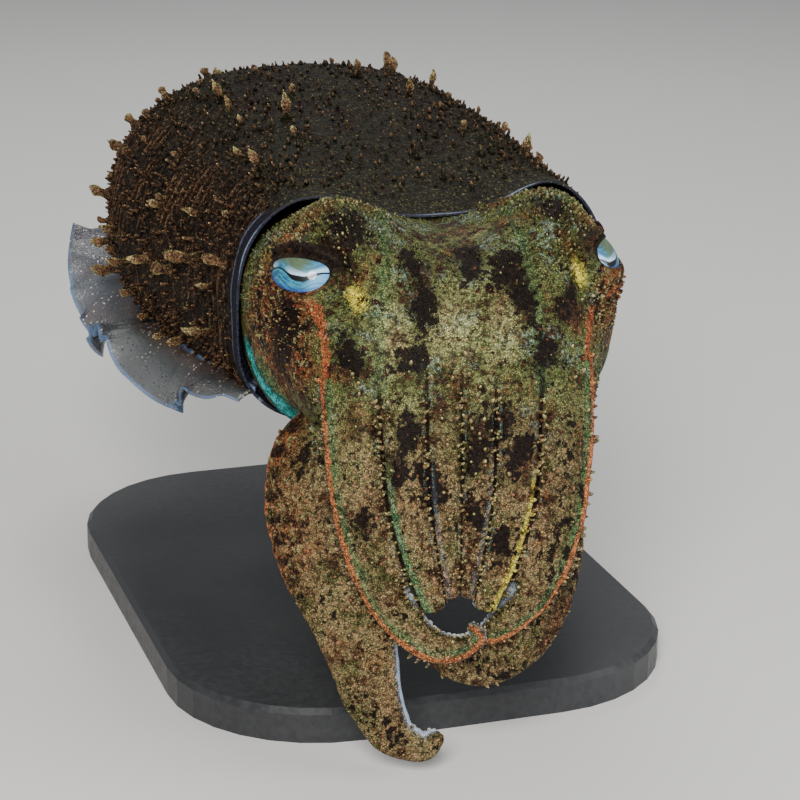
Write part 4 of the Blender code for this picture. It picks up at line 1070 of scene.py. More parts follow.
def skin_paint(name):
    """The finish of head and arms: tones by region, markings, then the grain over all of them."""
    paint = Paint(name, Roughness=0.60, Specular_IOR_Level=0.10)
    place = paint.place()
    long = paint.node("Mapping", None, {"Vector": place, "Scale": (1.0, 1.0, 0.85)})
    ragged = paint.noise(340.0, 4.0, 0.68, long)
    patchy = paint.noise(120.0, 2.0, 0.5, long)
    drift = paint.noise(95.0, 3.0, 0.6, place)
    flecks = paint.noise(720.0, 2.0, 0.6, long)
    grain, luck, hue, share = grains(paint, place, 2150.0)
    # One mask is partly painted light: the pale face and crown, the darker brows, and painted light and shade
    # across the arms.
    arm, bright, shine, laned, pale = (paint.mark(key) for key in ("arm", "bright", "shine", "laned", "pale"))
    mottle = ragged * 0.50 + patchy * 0.34 + flecks * 0.16
    green = paint.layers(
        BARK,
        (OLIVE, mottle.step(0.42, 0.50)),
        (LIGHT, mottle.step(0.48, 0.60) * (bright * 0.80 + 0.25)),
        (RUSSET, drift.step(0.53, 0.63) * ragged.step(0.40, 0.56) * 0.70),
        (MIST, drift.fall(0.38, 0.47) * flecks.step(0.46, 0.58) * 0.55),
    )
    tan = paint.layers(
        BARK,
        (ARM_TAN, mottle.step(0.42, 0.52)),
        (LIGHT, mottle.step(0.52, 0.62) * (bright * 0.60 + 0.20)),
        (OLIVE, drift.step(0.50, 0.62) * 0.55),
        (RUSSET, drift.fall(0.36, 0.46) * ragged.step(0.42, 0.58) * 0.55),
    )
    red = paint.layers(
        DARK,
        (RUSSET, mottle.step(0.42, 0.54)),
        (EMBER, (ragged + hue * 0.10).step(0.56, 0.66) * 0.7),
        (LIGHT, flecks.step(0.53, 0.64) * 0.65),
    )
    yellow = (paint.mark("yellow") + (ragged - 0.5) * 0.9 + (flecks - 0.5) * 0.6).step(0.20, 0.95)
    # Real dark blotches, and on the arms of the animal's left also painted shade.
    blotch = paint.mark("blotch") * 0.46 + (ragged - 0.5) * 1.35 + (patchy - 0.5) * 0.60
    blotch = (blotch + (flecks - 0.5) * 0.5 + (luck - 0.5) * 0.10).step(0.15, 0.27)
    line = (paint.mark("orange") + (ragged - 0.5) * 1.5 + (flecks - 0.5) * (1.5 - arm)).step(0.32, 0.72)
    broken = shine + (ragged - 0.5) * 0.8 + (patchy - 0.5) * 0.4
    seam = ((paint.mark("lane") + 0.5).fraction() - 0.5).size() + (ragged - 0.5) * 0.03
    tone = paint.layers(
        green,
        (tan, arm),
        (red, paint.mark("warm")),
        (RUSSET, hue.step(0.72, 0.80) * (0.20 + arm * 0.25)),
        (CREAM, paint.mark("patch") * ragged.step(0.30, 0.60) * 0.45),
        (LEAF, paint.mark("green") * 0.85),
        (STRAW, yellow * 0.9),
        (DARK, blotch * 0.98),
        (paint.mix(EMBER, ORANGE, arm * 0.7 + ragged.step(0.45, 0.62) * 0.4), line * 0.85),
        (ICE, pale * 0.75),
        # Painted shade round the iridescent band beside the mantle's rim, then the band's blue-green, then
        # painted cyan highlights on its brightest streaks.
        (DARK, shine.step(0.05, 0.40) * 0.55),
        (LAGOON, broken.step(0.18, 0.62) * shine.step(0.05, 0.30) * 0.95),
        (CYAN, broken.step(0.52, 0.88) * flecks.step(0.40, 0.54) * 0.95),
        # Painted shade in the clefts between the arms, along the grooves and along each lane's edge.
        (DARK, paint.mark("groove") * 0.25),
        (DARK, seam.fall(0.025, 0.065) * laned * 0.95),
        (MIST, seam.step(0.070, 0.100) * seam.fall(0.110, 0.16) * laned * ragged.step(0.46, 0.58) * 0.45),
        (paint.mix(DARK, RUSSET, mottle.step(0.46, 0.60) * 0.16), paint.mark("lid")),
    )
    specks = paint.cells(460.0, place).fall(0.10, 0.22)
    tipped = paint.mix(paint.mix(LIGHT, CREAM, hue * (0.65 + arm * 0.2)), EMBER, luck.step(0.74, 0.80) * 0.6)
    lit = paint.layers(
        paint.scaled(tone, share * 1.74 + 0.12),
        (PINK, specks * arm * (1.0 - blotch * 0.6) * 0.50),
        (tipped, paint.mark("tip").step(0.30, 0.95) * 0.85),
        (BONE, paint.mark("oral") * 0.55),
        (ICE, pale.step(0.40, 0.85) * 0.75),
    )
    paint.set(Base_Color=lit, Normal=paint.bump(grain * 0.7 + ragged * 0.5, 0.00040, 0.9))
    return paint.material


skin_finish = skin_paint("skin_of_head_and_arms")
print("finish:", skin_finish.name)

# %% The fused skin as a piece
WANDER = (0.009, 21, 0.004)
ARMS_BEGIN = (0.046, 0.072)
BROW_ACROSS, BROW_ALONG = (0.030, 0.016), (0.007, 0.014)
FACE_ALONG, FACE_ACROSS = (0.040, 0.017), (-0.003, 0.024)
CROWN_ALONG, CROWN_ACROSS = (0.020, 0.012), (0.004, 0.020)
# Across the arms: painted light towards the animal's right, where the key lamp stands, and painted shade
# towards its left.
LIT_ARMS, LIT_END, SHADED_ARMS, FAR_ARMS = (-0.021, 0.011), 0.100, (-0.003, 0.016), (0.010, 0.028)
CHEEK_ACROSS, CHEEK_ALONG = (0.036, 0.044), (0.006, 0.020)
EYE_RING, EYE_RING_TOP = (0.015, 0.003), 0.018
HOOD, HOOD_UP = (1.45, 2.30), (0.25, 0.50)
LANE_ENDS = (0.042, 0.056, 0.1005, 0.1035)


def axis_place(points):
    """Length along the bent axis, distance to the side and height above, from the nearest station."""
    parts = np.array_split(points, max(len(points) // 4000, 1))
    nearest = [np.linalg.norm(part[:, None] - AXIS_PLACE[None], axis=-1).argmin(1) for part in parts]
    nearest = np.concatenate(nearest)
    offset = points - AXIS_PLACE[nearest]
    side = np.sum(offset * AXIS_LEFT[nearest], -1)
    return AXIS_LENGTHS[nearest], side, np.sum(offset * AXIS_UP[nearest], -1)


def lane_of(length, side):
    """0 between the first arms, 1, 2 and 3 at the edge lines, straight in between, negative on the right."""
    _, *edges = np.moveaxis(smooth_table(ARM_EDGES, length), -1, 0)
    lane, start = 0 * side, 0 * side
    for edge in edges:
        lane = lane + np.clip((np.abs(side) - start) / (edge - start), 0, 1)
        start = edge
    return lane * np.sign(side)


skin_length, skin_side, skin_above = axis_place(skin_points)
normals = point_normals(skin_points, skin_faces)
cell, seed, reach = WANDER
wander = noise(skin_points, cell, seed) * reach
along, beside = skin_length + wander, skin_side + wander
eye_gap = np.minimum(*(np.linalg.norm(skin_points - eye_frame(s)[0], axis=1) for s in (-1, 1)))
on_arms = soft_step(along, *ARMS_BEGIN)
brow_share = bell(np.abs(skin_side), *BROW_ACROSS) * bell(skin_length, *BROW_ALONG)

# The pale face and crown and the darker brows are the animal's colour. On the arms this is painted light:
# lighter on the animal's right, towards the key lamp, and painted shade on its left.
bright = bell(along, *FACE_ALONG) * bell(beside, *FACE_ACROSS)
bright += 0.25 * bell(along, *CROWN_ALONG) * bell(skin_side, *CROWN_ACROSS) - 0.45 * brow_share
bright += on_arms * 0.60 * bell(beside, *LIT_ARMS) * (skin_length < LIT_END)
bright += on_arms * (0.25 * (1 - soft_step(beside, *FAR_ARMS)) - 0.38 * soft_step(beside, *SHADED_ARMS))

warm = soft_step(np.abs(skin_side) + wander, *CHEEK_ACROSS) * soft_step(skin_length, *CHEEK_ALONG)
warm = np.maximum(warm * (1 - 0.5 * on_arms), 0.8 * bell(eye_gap, *EYE_RING) * (skin_above < EYE_RING_TOP))

hood = lid_rim + 0.25 * noise(skin_points, 0.0022, 22)
lid = (lid_rim > 0.9) * (1 - soft_step(hood, *HOOD)) * soft_step(lid_up, *HOOD_UP)

# lane and laned place the painted shade of the clefts between the arms, on their upper faces, and the
# grey-green line beside it.
lane = lane_of(skin_length, skin_side)
facing_up = np.sum(normals * on_axis(AXIS_UP, skin_length), -1)
laned = soft_step(facing_up, 0.1, 0.4) * (skin_above > -0.003) * (1 - soft_step(np.abs(lane), 2.2, 2.45))
laned *= soft_step(skin_length, *LANE_ENDS[:2]) * (1 - soft_step(skin_length, *LANE_ENDS[2:]))

skin_masks = {key: np.clip(skin_marks[:, k], 0, 1) for k, key in enumerate(MARKS)}
skin_masks |= {"arm": on_arms, "bright": bright, "warm": warm, "lid": (0.96 - 0.40 * (skin_side > 0)) * lid}
skin_masks |= {"lane": lane, "laned": laned, "tip": np.zeros(len(skin_points))}
# Painted shade: more dark blotches on the arms of the animal's left, away from the key lamp.
skin_masks["blotch"] = np.maximum(skin_masks["blotch"], 0.40 * on_arms * soft_step(skin_side, 0.017, 0.030))
skin = make_piece("skin_head_and_arms", skin_points, skin_faces, skin_finish, skin_masks)
ARM_NODES = [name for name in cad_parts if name.startswith("arm_")]
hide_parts("head", "funnel", *ARM_NODES)

# %% Lid edges
LID_GRID = (140, 14)
LID_ROUND = (0.0007, 0.0006)
LID_LIFT = 0.0002
LID_THICKER = 0.9


def lid_edge(side):
    """A soft ring along the opening's rim, its oval section thicker above, and how high each point looks."""
    middle, ahead, up, look = eye_frame(side)
    oval = OPENINGS[side]
    turn = np.linspace(0, math.tau, LID_GRID[0], endpoint=False)[:, None]
    along = signed_power(np.cos(turn), 2 / OPENING_SQUARE)
    high = oval["high"] * (1 + oval["widening"] * along) * signed_power(np.sin(turn), 2 / OPENING_SQUARE)
    x = oval["ahead"] + oval["wide"] * along
    y = oval["up"] + oval["slope"] * along + oval["sag"] * along**2 + high
    round_off = x * x + y * y
    way = (ahead * 2 * x + up * 2 * y + look * (1 - round_off)) / (1 + round_off)
    u = 2 * y / (1 + round_off)
    core = middle + way * (EYE_RADIUS + LID_LIFT)
    outwards = np.cross(unit(np.roll(core, -1, 0) - np.roll(core, 1, 0)), way)
    spin = np.linspace(0, math.tau, LID_GRID[1], endpoint=False)[None, :, None]
    thick = 1 + LID_THICKER * soft_step(u, 0.3, 0.6)
    ring = (outwards * LID_ROUND[0] * thick)[:, None] * np.cos(spin)
    return core[:, None] + ring + (way * LID_ROUND[1])[:, None] * np.sin(spin), np.broadcast_to(u, LID_GRID)


for side, name in ((-1, "lid_right"), (1, "lid_left")):
    grid, height = lid_edge(side)
    loop = np.concatenate([grid, grid[:1]])
    faces = grid_quads(*loop.shape[:2]) % (LID_GRID[0] * LID_GRID[1])
    points = grid.reshape(-1, 3)
    values = {key: np.zeros(len(points)) for key in (*MARKS, "arm", "bright", "tip")}
    values["lid"] = (0.25 + 0.70 * soft_step(height, 0.20, 0.45)).ravel()
    values["warm"] = (1 - soft_step(height, 0.10, 0.30)).ravel()
    piece = make_piece(name, points, faces, skin_finish, values)

# %% [markdown]
# ## The mantle's skin
# The mantle is darker than the head and carries low ridges that run round it, set close and broken into
# short lengths, with small pale beads on their crests. The grid is moved out along its own normals by a
# ridge function; a lip closes the grid round the mouth and a wall leads back inside.

# %% Ridges on the mantle
MANTLE_ROWS = 290
MANTLE_COLUMNS = 320
RIDGE_SPACING = 0.0046
RIDGE_HEIGHT = 0.00085
RIDGE_ENDS = (0.004, 0.03, 0.97, 0.995)
BELLY_SMOOTH = 0.85
MANTLE_LUMPS = (0.012, 14, 0.0005)
MANTLE_SUNK = 0.0003
ROW_CROWDING = 1.25
LIP_THICKNESS = 0.0009
LIP_RINGS = 6
MOUTH_DEPTHS = (0.003, 0.007, 0.012)
FIN_ANGLE = math.radians(-33)


def ridge_warp(points):
    """How far the ridges wander along the body."""
    return noise(points, 0.022, 11) * 0.0034 + noise(points, 0.008, 12) * 0.0016


def ridge_height(share, points):
    """A sharpened zigzag of the length, broken into short lengths by noise. 0 to 1."""
    phase = (share * MANTLE_LENGTH + ridge_warp(points)) / RIDGE_SPACING
    crest = (1 - np.abs(2 * (phase % 1) - 1)) ** 1.5
    return crest * np.clip(0.62 + 0.75 * noise(points, 0.0075, 13), 0.05, 1)


def mantle_grid():
    """The outer wall with its ridges, and before it the inner wall and the round lip of the mouth."""
    angle = np.linspace(-math.pi, math.pi, MANTLE_COLUMNS, endpoint=False)
    share = 1 - (1 - np.linspace(0, 1, MANTLE_ROWS)) ** ROW_CROWDING
    share[-1] = 0.99995
    s, a = np.meshgrid(share, angle, indexing="ij")
    wall = mantle_point(s, a)
    out, _ = mantle_frame(np.clip(s, 0.0045, 0.9955), a)
    first, full, fading, last = RIDGE_ENDS
    ridge = ridge_height(s, wall) * soft_step(s, first, full) * (1 - soft_step(s, fading, last))
    belly = soft_step(-np.sin(a), 0.35, 0.75)
    cell, seed, height = MANTLE_LUMPS
    relief = ridge * RIDGE_HEIGHT * (1 - BELLY_SMOOTH * belly) + noise(wall, cell, seed) * height
    wall = wall + out * (relief - MANTLE_SUNK)[..., None]
    inside = []
    for turn in np.linspace(0, math.pi, LIP_RINGS):
        grow = -LIP_THICKNESS * (1 + math.cos(turn)) / 2
        ahead = -LIP_THICKNESS / 2 * math.sin(turn) / MANTLE_LENGTH
        inside.append(mantle_point(np.full_like(angle, ahead), angle, grow))
    for depth in MOUTH_DEPTHS:
        inside.insert(0, mantle_point(np.full_like(angle, depth / MANTLE_LENGTH), angle, -LIP_THICKNESS))
    inside = np.array(inside[:-1])
    empty = np.zeros(inside.shape[:2])
    flank = np.concatenate([np.tile(a[0], (len(inside), 1)), a])
    shares = np.concatenate([np.zeros_like(empty), s])
    crest = np.concatenate([empty, ridge])
    rim = np.concatenate([empty + 0.6, bell(s * MANTLE_LENGTH, 0.0, 0.0012)])
    behind = np.concatenate([empty, np.minimum(s * MANTLE_LENGTH / 0.01, 1)])
    return np.concatenate([inside, wall]), shares, flank, crest, rim, behind


mantle_points_grid, mantle_share, mantle_turn, mantle_crest, mantle_rim, mantle_behind = mantle_grid()
print("mantle grid", mantle_points_grid.shape)

# %% The mantle's finish and piece
MAROON = (0.009, 0.005, 0.003)
UMBER = (0.075, 0.038, 0.020)
RUST = (0.300, 0.150, 0.075)
GOLD = (0.720, 0.520, 0.240)
LIME = (0.640, 0.640, 0.220)
MOSS = (0.022, 0.022, 0.012)
VIOLET = (0.075, 0.085, 0.140)


def mantle_paint(name):
    """Maroon valleys, umber bumps, rusty crests with pale grains, yellow-green edges of the flaps, painted
    shade in the mouth.
    """
    paint = Paint(name, Roughness=0.65, Specular_IOR_Level=0.08)
    place = paint.place()
    ragged = paint.noise(300.0, 3.0, 0.65, place)
    patchy = paint.noise(60.0, 3.0, 0.6, place)
    cobble = paint.cells(820.0, place)
    bump_luck = paint.node("SeparateColor", None, {0: paint.also(cobble, 1)})
    grain, luck, hue, share = grains(paint, place, 2000.0)
    marks = ("crest", "top", "front", "edge", "tip", "rim", "behind")
    crest, top, front, edge, tip, rim, behind = (paint.mark(key) for key in marks)
    dome, side = cobble.fall(0.15, 0.62), top.fall(0.0, 0.5)
    tone = paint.layers(
        MAROON,
        (UMBER, (patchy * 0.6 + ragged * 0.4 + luck * 0.15).step(0.42, 0.72) * (0.35 + dome * 0.65)),
        (MOSS, top * patchy.step(0.38, 0.56) * 0.85),
        (RUST, (crest * (1.0 - top * 0.6) + ragged * 0.7 - 0.35).step(0.35, 0.95) * 0.75),
        (ARM_TAN, dome * bump_luck.step(0.50, 0.90) * (0.50 - top * 0.10)),
        (paint.mix(MOSS, LIGHT, hue * dome * 0.6), front * (0.15 + dome * 0.45)),
        (CREAM, paint.mark("belly") * 0.55),
        (RUST, tip.step(0.10, 0.45) * 0.55),
        (paint.mix(GOLD, CREAM, hue), tip.step(0.45, 0.88) * (0.60 + luck * 0.4)),
        (LIME, edge * (0.55 + ragged * 0.4)),
    )
    lit = paint.layers(
        paint.scaled(tone, share * 1.52 + 0.08),
        # Painted shade: near black inside the mouth and in a band about 5 mm wide behind the rim, except on
        # the top.
        (paint.scaled(VIOLET, 0.10), behind.fall(0.45, 0.56) * side * 0.92),
        (VIOLET, (behind - 0.55).size().fall(0.02, 0.05) * side * 0.8),
        (VIOLET, rim.step(0.45, 0.90) * 0.85),
        (ICE, rim.step(0.80, 1.0) * 0.65),
        (ICE, paint.mark("blue") * ragged.step(0.35, 0.6) * 0.7),
    )
    paint.set(Base_Color=lit, Normal=paint.bump(dome * 0.8 + grain * 0.25 + ragged * 0.4, 0.00060, 0.9))
    return paint.material


mantle_finish = mantle_paint("skin_of_mantle")


def with_ends(rows):
    """Marks of a grid, with the means of its first and last ring for the two poles."""
    return np.concatenate([rows.ravel(), [rows[0].mean(), rows[-1].mean()]])


mantle_masks = {
    "crest": with_ends(mantle_crest),
    "rim": with_ends(mantle_rim),
    "behind": with_ends(mantle_behind),
    "top": with_ends(soft_step(np.sin(mantle_turn), 0.55, 0.9)),
    "belly": with_ends(soft_step(-np.sin(mantle_turn), 0.62, 0.9)),
    "front": with_ends(bell(mantle_share, 0.0, 0.12) * soft_step(np.sin(mantle_turn), 0.45, 0.85)),
    "blue": with_ends(bell(mantle_turn, FIN_ANGLE, 0.022) + bell(mantle_turn, -math.pi - FIN_ANGLE, 0.022)),
    "tip": with_ends(0 * mantle_crest),
    "edge": with_ends(0 * mantle_crest),
}
mantle = make_piece("skin_mantle", *closed_shell(mantle_points_grid), mantle_finish, mantle_masks)
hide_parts("mantle")

# %% [markdown]
# ## Papillae, beads and knobs
# The animal raises papillae: broad flaps along its sides, small knobs on its back and a fine crop of beads
# on every ridge. Each kind is one array: rings about a bent core, the same few faces for every one, with
# their roots sunk in the skin. Their OFBake map places each by where its root stands on the body.

# %% Many small forms from one array
TUFT_PATCH = 0.003
FLAT = 0.7
RAGGED_CELL, RAGGED_MOST, RAGGED_SHARE = 0.0021, 0.010, 0.20


def tufts(name, root, out, back, size, width, rows, flat, sides, finish, unwrap, masks, turned=0.0):
    """Rings (rise, lean, radius) about cores that rise along out and lean back, drawn to a pole at the tip.

    root, out, back: places and ways, one row each. size and width: arrays. rows: (rise, lean, radius).
    turned: how far each section's broad way is turned about its core, from back towards across.
    The narrow borders of flat forms are marked as their edge.
    """
    rise, lean, radius = (np.array(column)[None, :, None, None] for column in zip(*rows))
    turn = np.linspace(0, math.tau, sides, endpoint=False)[None, None, :, None]
    across = unit(np.cross(out, back))[:, None, None]
    root, out, back = root[:, None, None], out[:, None, None], back[:, None, None]
    turned, length, half = (part[:, None, None, None] for part in (turned + 0 * size, size, width))
    broad = back * np.cos(turned) + across * np.sin(turned)
    thin = across * np.cos(turned) - back * np.sin(turned)
    core = root + (out * rise + back * lean) * length
    grid = core + (broad * np.cos(turn) + thin * np.sin(turn) * flat) * radius * half
    ends = np.stack([grid[:, 0].mean(1), grid[:, -1].mean(1)], 1)
    points = np.concatenate([grid.reshape(len(grid), -1, 3), ends], 1)
    count, each = points.shape[:2]
    faces = (closed_shell(grid[0])[1][None] + (np.arange(count) * each)[:, None, None]).reshape(-1, 4)
    ring = np.repeat(np.linspace(0, 1, len(rows)), sides)
    tip = np.tile(np.concatenate([ring, [0.0, 1.0]]), count)
    spread = np.concatenate([np.tile(np.linspace(0, 1, sides), len(rows)), [0.5, 0.5]]) - 0.5
    uv = unwrap[:, None] + np.stack([spread, tip[:each] - 0.5], -1)[None] * TUFT_PATCH
    values = {key: np.repeat(value, each) for key, value in masks.items()}
    values["tip"] = tip * values.pop("glow")
    border = np.tile(np.cos(turn.ravel()) ** 6, len(rows)) * ring * (flat < FLAT)
    values["edge"] = np.tile(np.concatenate([border, [0.0, 0.0]]), count)
    points = points.reshape(-1, 3)
    ragged = noise(points, RAGGED_CELL, 51) * tip * np.repeat(np.minimum(size, RAGGED_MOST), each)
    points = points + np.repeat(out[:, 0, 0] + back[:, 0, 0], each, axis=0) * (ragged * RAGGED_SHARE)[:, None]
    made = make_piece(name, points, faces, finish, values, uv.reshape(-1, 2))
    return made


FLAP = (
    (-0.16, 0.00, 1.60),
    (0.00, 0.00, 1.20),
    (0.12, 0.00, 0.85),
    (0.25, 0.01, 0.66),
    (0.38, 0.04, 0.66),
    (0.50, 0.09, 0.80),
    (0.62, 0.16, 0.92),
    (0.73, 0.25, 0.84),
    (0.83, 0.35, 0.60),
    (0.91, 0.46, 0.34),
    (0.95, 0.56, 0.16),
    (0.96, 0.64, 0.05),
)
KNOB = (
    (-0.20, 0.00, 1.70),
    (0.05, 0.00, 1.25),
    (0.30, 0.02, 0.82),
    (0.55, 0.08, 0.68),
    (0.75, 0.18, 0.66),
    (0.88, 0.30, 0.48),
    (0.93, 0.42, 0.16),
)
BEAD = ((-0.35, 0.00, 1.40), (0.15, 0.00, 1.05), (0.60, 0.08, 0.76), (0.88, 0.18, 0.44), (1.00, 0.26, 0.12))
print("profiles:", len(FLAP), len(KNOB), len(BEAD), "rings")

# %% Flaps and knobs of the mantle
draw = np.random.default_rng(11)
# Degrees up from the side, first and last share of the length, number, length, half width.
FLAP_ROWS = (
    (-14, 0.07, 0.90, 11, 0.0110, 0.0025),
    (-2, 0.10, 0.90, 9, 0.0064, 0.0018),
    (10, 0.06, 0.90, 11, 0.0092, 0.0022),
    (30, 0.09, 0.90, 10, 0.0070, 0.0019),
    (52, 0.14, 0.88, 11, 0.0064, 0.0018),
    (74, 0.20, 0.88, 10, 0.0060, 0.0018),
)


def mantle_tufts(name, share, turn, size, width, profile, flat, sides, lean_out, glow, turned=0.0):
    """Places forms on the mantle's ridged wall at those shares and turns."""
    place = mantle_point(share, turn)
    out, back = mantle_frame(share, turn)
    place = place + out * (ridge_height(share, place) * RIDGE_HEIGHT)[:, None]
    tilt = unit(out + back * lean_out[:, None])
    unwrap = np.stack([turn / math.tau + 0.5, share], -1)
    masks = {
        "glow": glow,
        "crest": np.full(len(share), 0.5),
        "rim": 0 * share,
        "behind": 1 + 0 * share,
        "top": soft_step(np.sin(turn), 0.55, 0.9),
        "front": bell(share, 0.0, 0.12) * soft_step(np.sin(turn), 0.45, 0.85),
        "blue": 0 * share,
        "belly": 0.5 * soft_step(-np.sin(turn), 0.6, 0.9),
    }
    form = (tilt, upright(back, tilt), size, width, profile, flat, sides)
    return tufts(name, place, *form, mantle_finish, unwrap, masks, turned)


def flap_row(angle, first, last, count, length, half_width, mirrored):
    """Shares, turns, lengths and half widths of one row of flaps along one side."""
    share = first + (last - first) * (np.arange(count) + draw.uniform(-0.3, 0.3, count)) / (count - 1)
    turn = np.radians(angle + draw.uniform(-13, 11, count))
    scale = 0.35 + 0.80 * draw.uniform(0, 1, count) ** 1.3
    turn = math.pi - turn if mirrored else turn
    return np.stack([np.clip(share, first, last), turn, length * scale, half_width * scale**0.6])


rows = [flap_row(*row, mirrored) for row in FLAP_ROWS for mirrored in (False, True)]
share, turn, size, width = np.concatenate(rows, 1)
lean, glow, turned = (draw.uniform(*ends, len(share)) for ends in ((-0.4, 0.7), (0.75, 1.0), (0.9, 2.2)))
mantle_tufts("papillae_flaps", share, turn, size, width, FLAP, 0.22, 14, lean, glow, turned)

KNOB_COUNT, KNOB_SHARES, KNOB_TURNS = 2300, (0.028, 0.96), (-26, 206)
share = draw.uniform(*KNOB_SHARES, KNOB_COUNT)
turn = np.radians(draw.uniform(*KNOB_TURNS, KNOB_COUNT))
size = (0.0008 + 0.0022 * draw.uniform(0, 1, KNOB_COUNT) ** 4) * (1 - 0.30 * share)
width = size * draw.uniform(0.24, 0.42, KNOB_COUNT)
lean = draw.uniform(-0.1, 0.6, KNOB_COUNT)
glow = draw.uniform(0.3, 0.95, KNOB_COUNT) * (1 - 0.35 * soft_step(np.sin(turn), 0.55, 0.9))
mantle_tufts("papillae_knobs", share, turn, size, width, KNOB, 0.7, 6, lean, glow)

# %% Beads on the mantle's ridges
BEAD_GAP = 0.0048
BEAD_GIRTH = 0.24
BEAD_TURNS = (-34, 214)
ridges = np.arange(2, int(MANTLE_LENGTH * 0.97 / RIDGE_SPACING))
around = np.arange(int(BEAD_GIRTH / BEAD_GAP)) + 0.5
ridge, spot = (grid.ravel() for grid in np.meshgrid(ridges, around, indexing="ij"))
turn = (spot + draw.uniform(-0.42, 0.42, spot.size)) / around.size
turn = np.radians(BEAD_TURNS[0] + (BEAD_TURNS[1] - BEAD_TURNS[0]) * turn)
share = (ridge + 0.5) * RIDGE_SPACING / MANTLE_LENGTH
for _ in range(2):
    along = (ridge + 0.5) * RIDGE_SPACING - ridge_warp(mantle_point(share, turn))
    share = np.clip(along / MANTLE_LENGTH, 0.02, 0.97)
size = draw.uniform(0.00055, 0.00115, share.size)
kept = draw.uniform(0, 1, share.size) < 0.35 + 0.65 * np.clip((1 - share) * 1.6, 0, 1)
share, turn, size = share[kept], turn[kept], size[kept]
lean, glow = (draw.uniform(*ends, len(share)) for ends in ((0.0, 0.5), (0.35, 0.95)))
mantle_tufts("papillae_beads", share, turn, size, size * 0.52, BEAD, 1.0, 6, lean, glow)

# %% [markdown]
# ## Knobs of the head and pimples of the arms
# Small pale knobs stand close together on the brows and round the eyes, and rows of pimples follow the arms.
# The head's knobs stand on points of the fused skin itself, one to a small cell, so that they are evenly
# spread and never float. The arms' pimples are placed in rows by run and angle.

# %% Knobs of the head
HEAD_KNOB_CELL = 0.00122


def one_per_cell(points, cell, order):
    """The first point, in that order, of each cell of space."""
    keys = np.floor(points[order] / cell).astype(np.int64) @ np.array([73856093, 19349663, 83492791])
    return order[np.unique(keys, return_index=True)[1]]


above_share = soft_step(skin_above, -0.004, 0.008)
round_eyes = bell(eye_gap, 0.0160, 0.0035) * soft_step(lid_up, 0.0, 0.45)
cheek_share = soft_step(np.abs(skin_side), 0.033, 0.040) * soft_step(skin_length, 0.004, 0.012)
density = above_share * (0.06 + 1.25 * np.maximum(brow_share, 0.5 * round_eyes) + 0.42 * cheek_share)
density = density * (skin_length < 0.060) * (skin_length > -0.003) * (lid_rim > 1.4)
shuffled = draw.permutation(len(skin_points))
chosen = one_per_cell(skin_points, HEAD_KNOB_CELL, shuffled)
chosen = chosen[draw.uniform(0, 1, len(chosen)) < density[chosen]]

big = brow_share[chosen] + 0.8 * bell(eye_gap[chosen], 0.0140, 0.003)
size = draw.uniform(0.0005, 0.0009, len(chosen))
size = size * (0.8 + 1.3 * np.clip(big, 0, 1) * draw.uniform(0, 1, len(chosen)))
lean, glow = (draw.uniform(*ends, len(chosen)) for ends in ((0.0, 0.5), (0.35, 1.0)))

out = normals[chosen]
back = upright(-on_axis(AXIS_AHEAD, skin_length[chosen]), out)
tilt = unit(out + back * lean[:, None])
turn = np.arctan2(skin_above[chosen], skin_side[chosen]) / math.tau + 0.5
run = (skin_length[chosen] - AXIS_LENGTHS[0]) / (AXIS_LENGTHS[-1] - AXIS_LENGTHS[0])
marks = {key: values[chosen] for key, values in skin_masks.items()}
marks |= {"blotch": marks["blotch"] * 0.6, "glow": glow}
form = (tilt, upright(back, tilt), size, size * 0.50, BEAD, 1.0, 6)
tufts("knobs_of_head", skin_points[chosen], *form, skin_finish, np.stack([turn, run], -1), marks)

# %% Pimples of the arms
# For each pair of arms: degrees round the section of each row, and the share of its places that is taken.
PIMPLE_ROWS = {
    1: ((30, 0.9), (60, 0.3), (90, 0.6), (120, 0.3), (150, 0.9)),
    2: ((28, 0.85), (50, 0.3), (75, 0.3), (110, 0.3), (152, 0.9)),
    3: ((18, 0.7), (50, 0.3), (75, 0.3), (100, 0.3), (125, 0.35), (155, 0.8)),
    4: ((35, 0.20), (65, 0.2), (95, 0.2), (125, 0.2), (150, 0.2)),
}
PIMPLE_GAP = 0.0026
PIMPLE_RUNS = (0.008, 0.95)


def pimple_row(index, arm, angle, likely):
    """Roots, ways out and back, sizes, places in the unwrap and marks of a row along an arm."""
    runs = np.arange(PIMPLE_RUNS[0], arm.reach * PIMPLE_RUNS[1], PIMPLE_GAP)
    runs = runs[draw.uniform(0, 1, len(runs)) < likely]
    runs = np.minimum(runs + draw.uniform(-0.4, 0.4, len(runs)) * PIMPLE_GAP, arm.reach * 0.96)
    turn = np.radians(angle + draw.uniform(-9, 9, len(runs)))
    ahead, across, up = arm.frame(runs)
    out = unit(up * np.abs(np.sin(turn))[:, None] + across * 0.7 * np.cos(turn)[:, None])
    size = draw.uniform(0.0008, 0.0016, len(runs)) * (1 - 0.30 * runs / arm.reach)
    unwrap = np.stack([(index + turn / math.tau) / len(ARMS), runs / arm.reach], -1)
    here = arm_marks(arm, runs, turn)
    marks = np.stack([np.clip(here[key] + 0 * runs, 0, 1) for key in MARKS], -1)
    return arm.point(runs, turn), out, -ahead, size, unwrap, marks


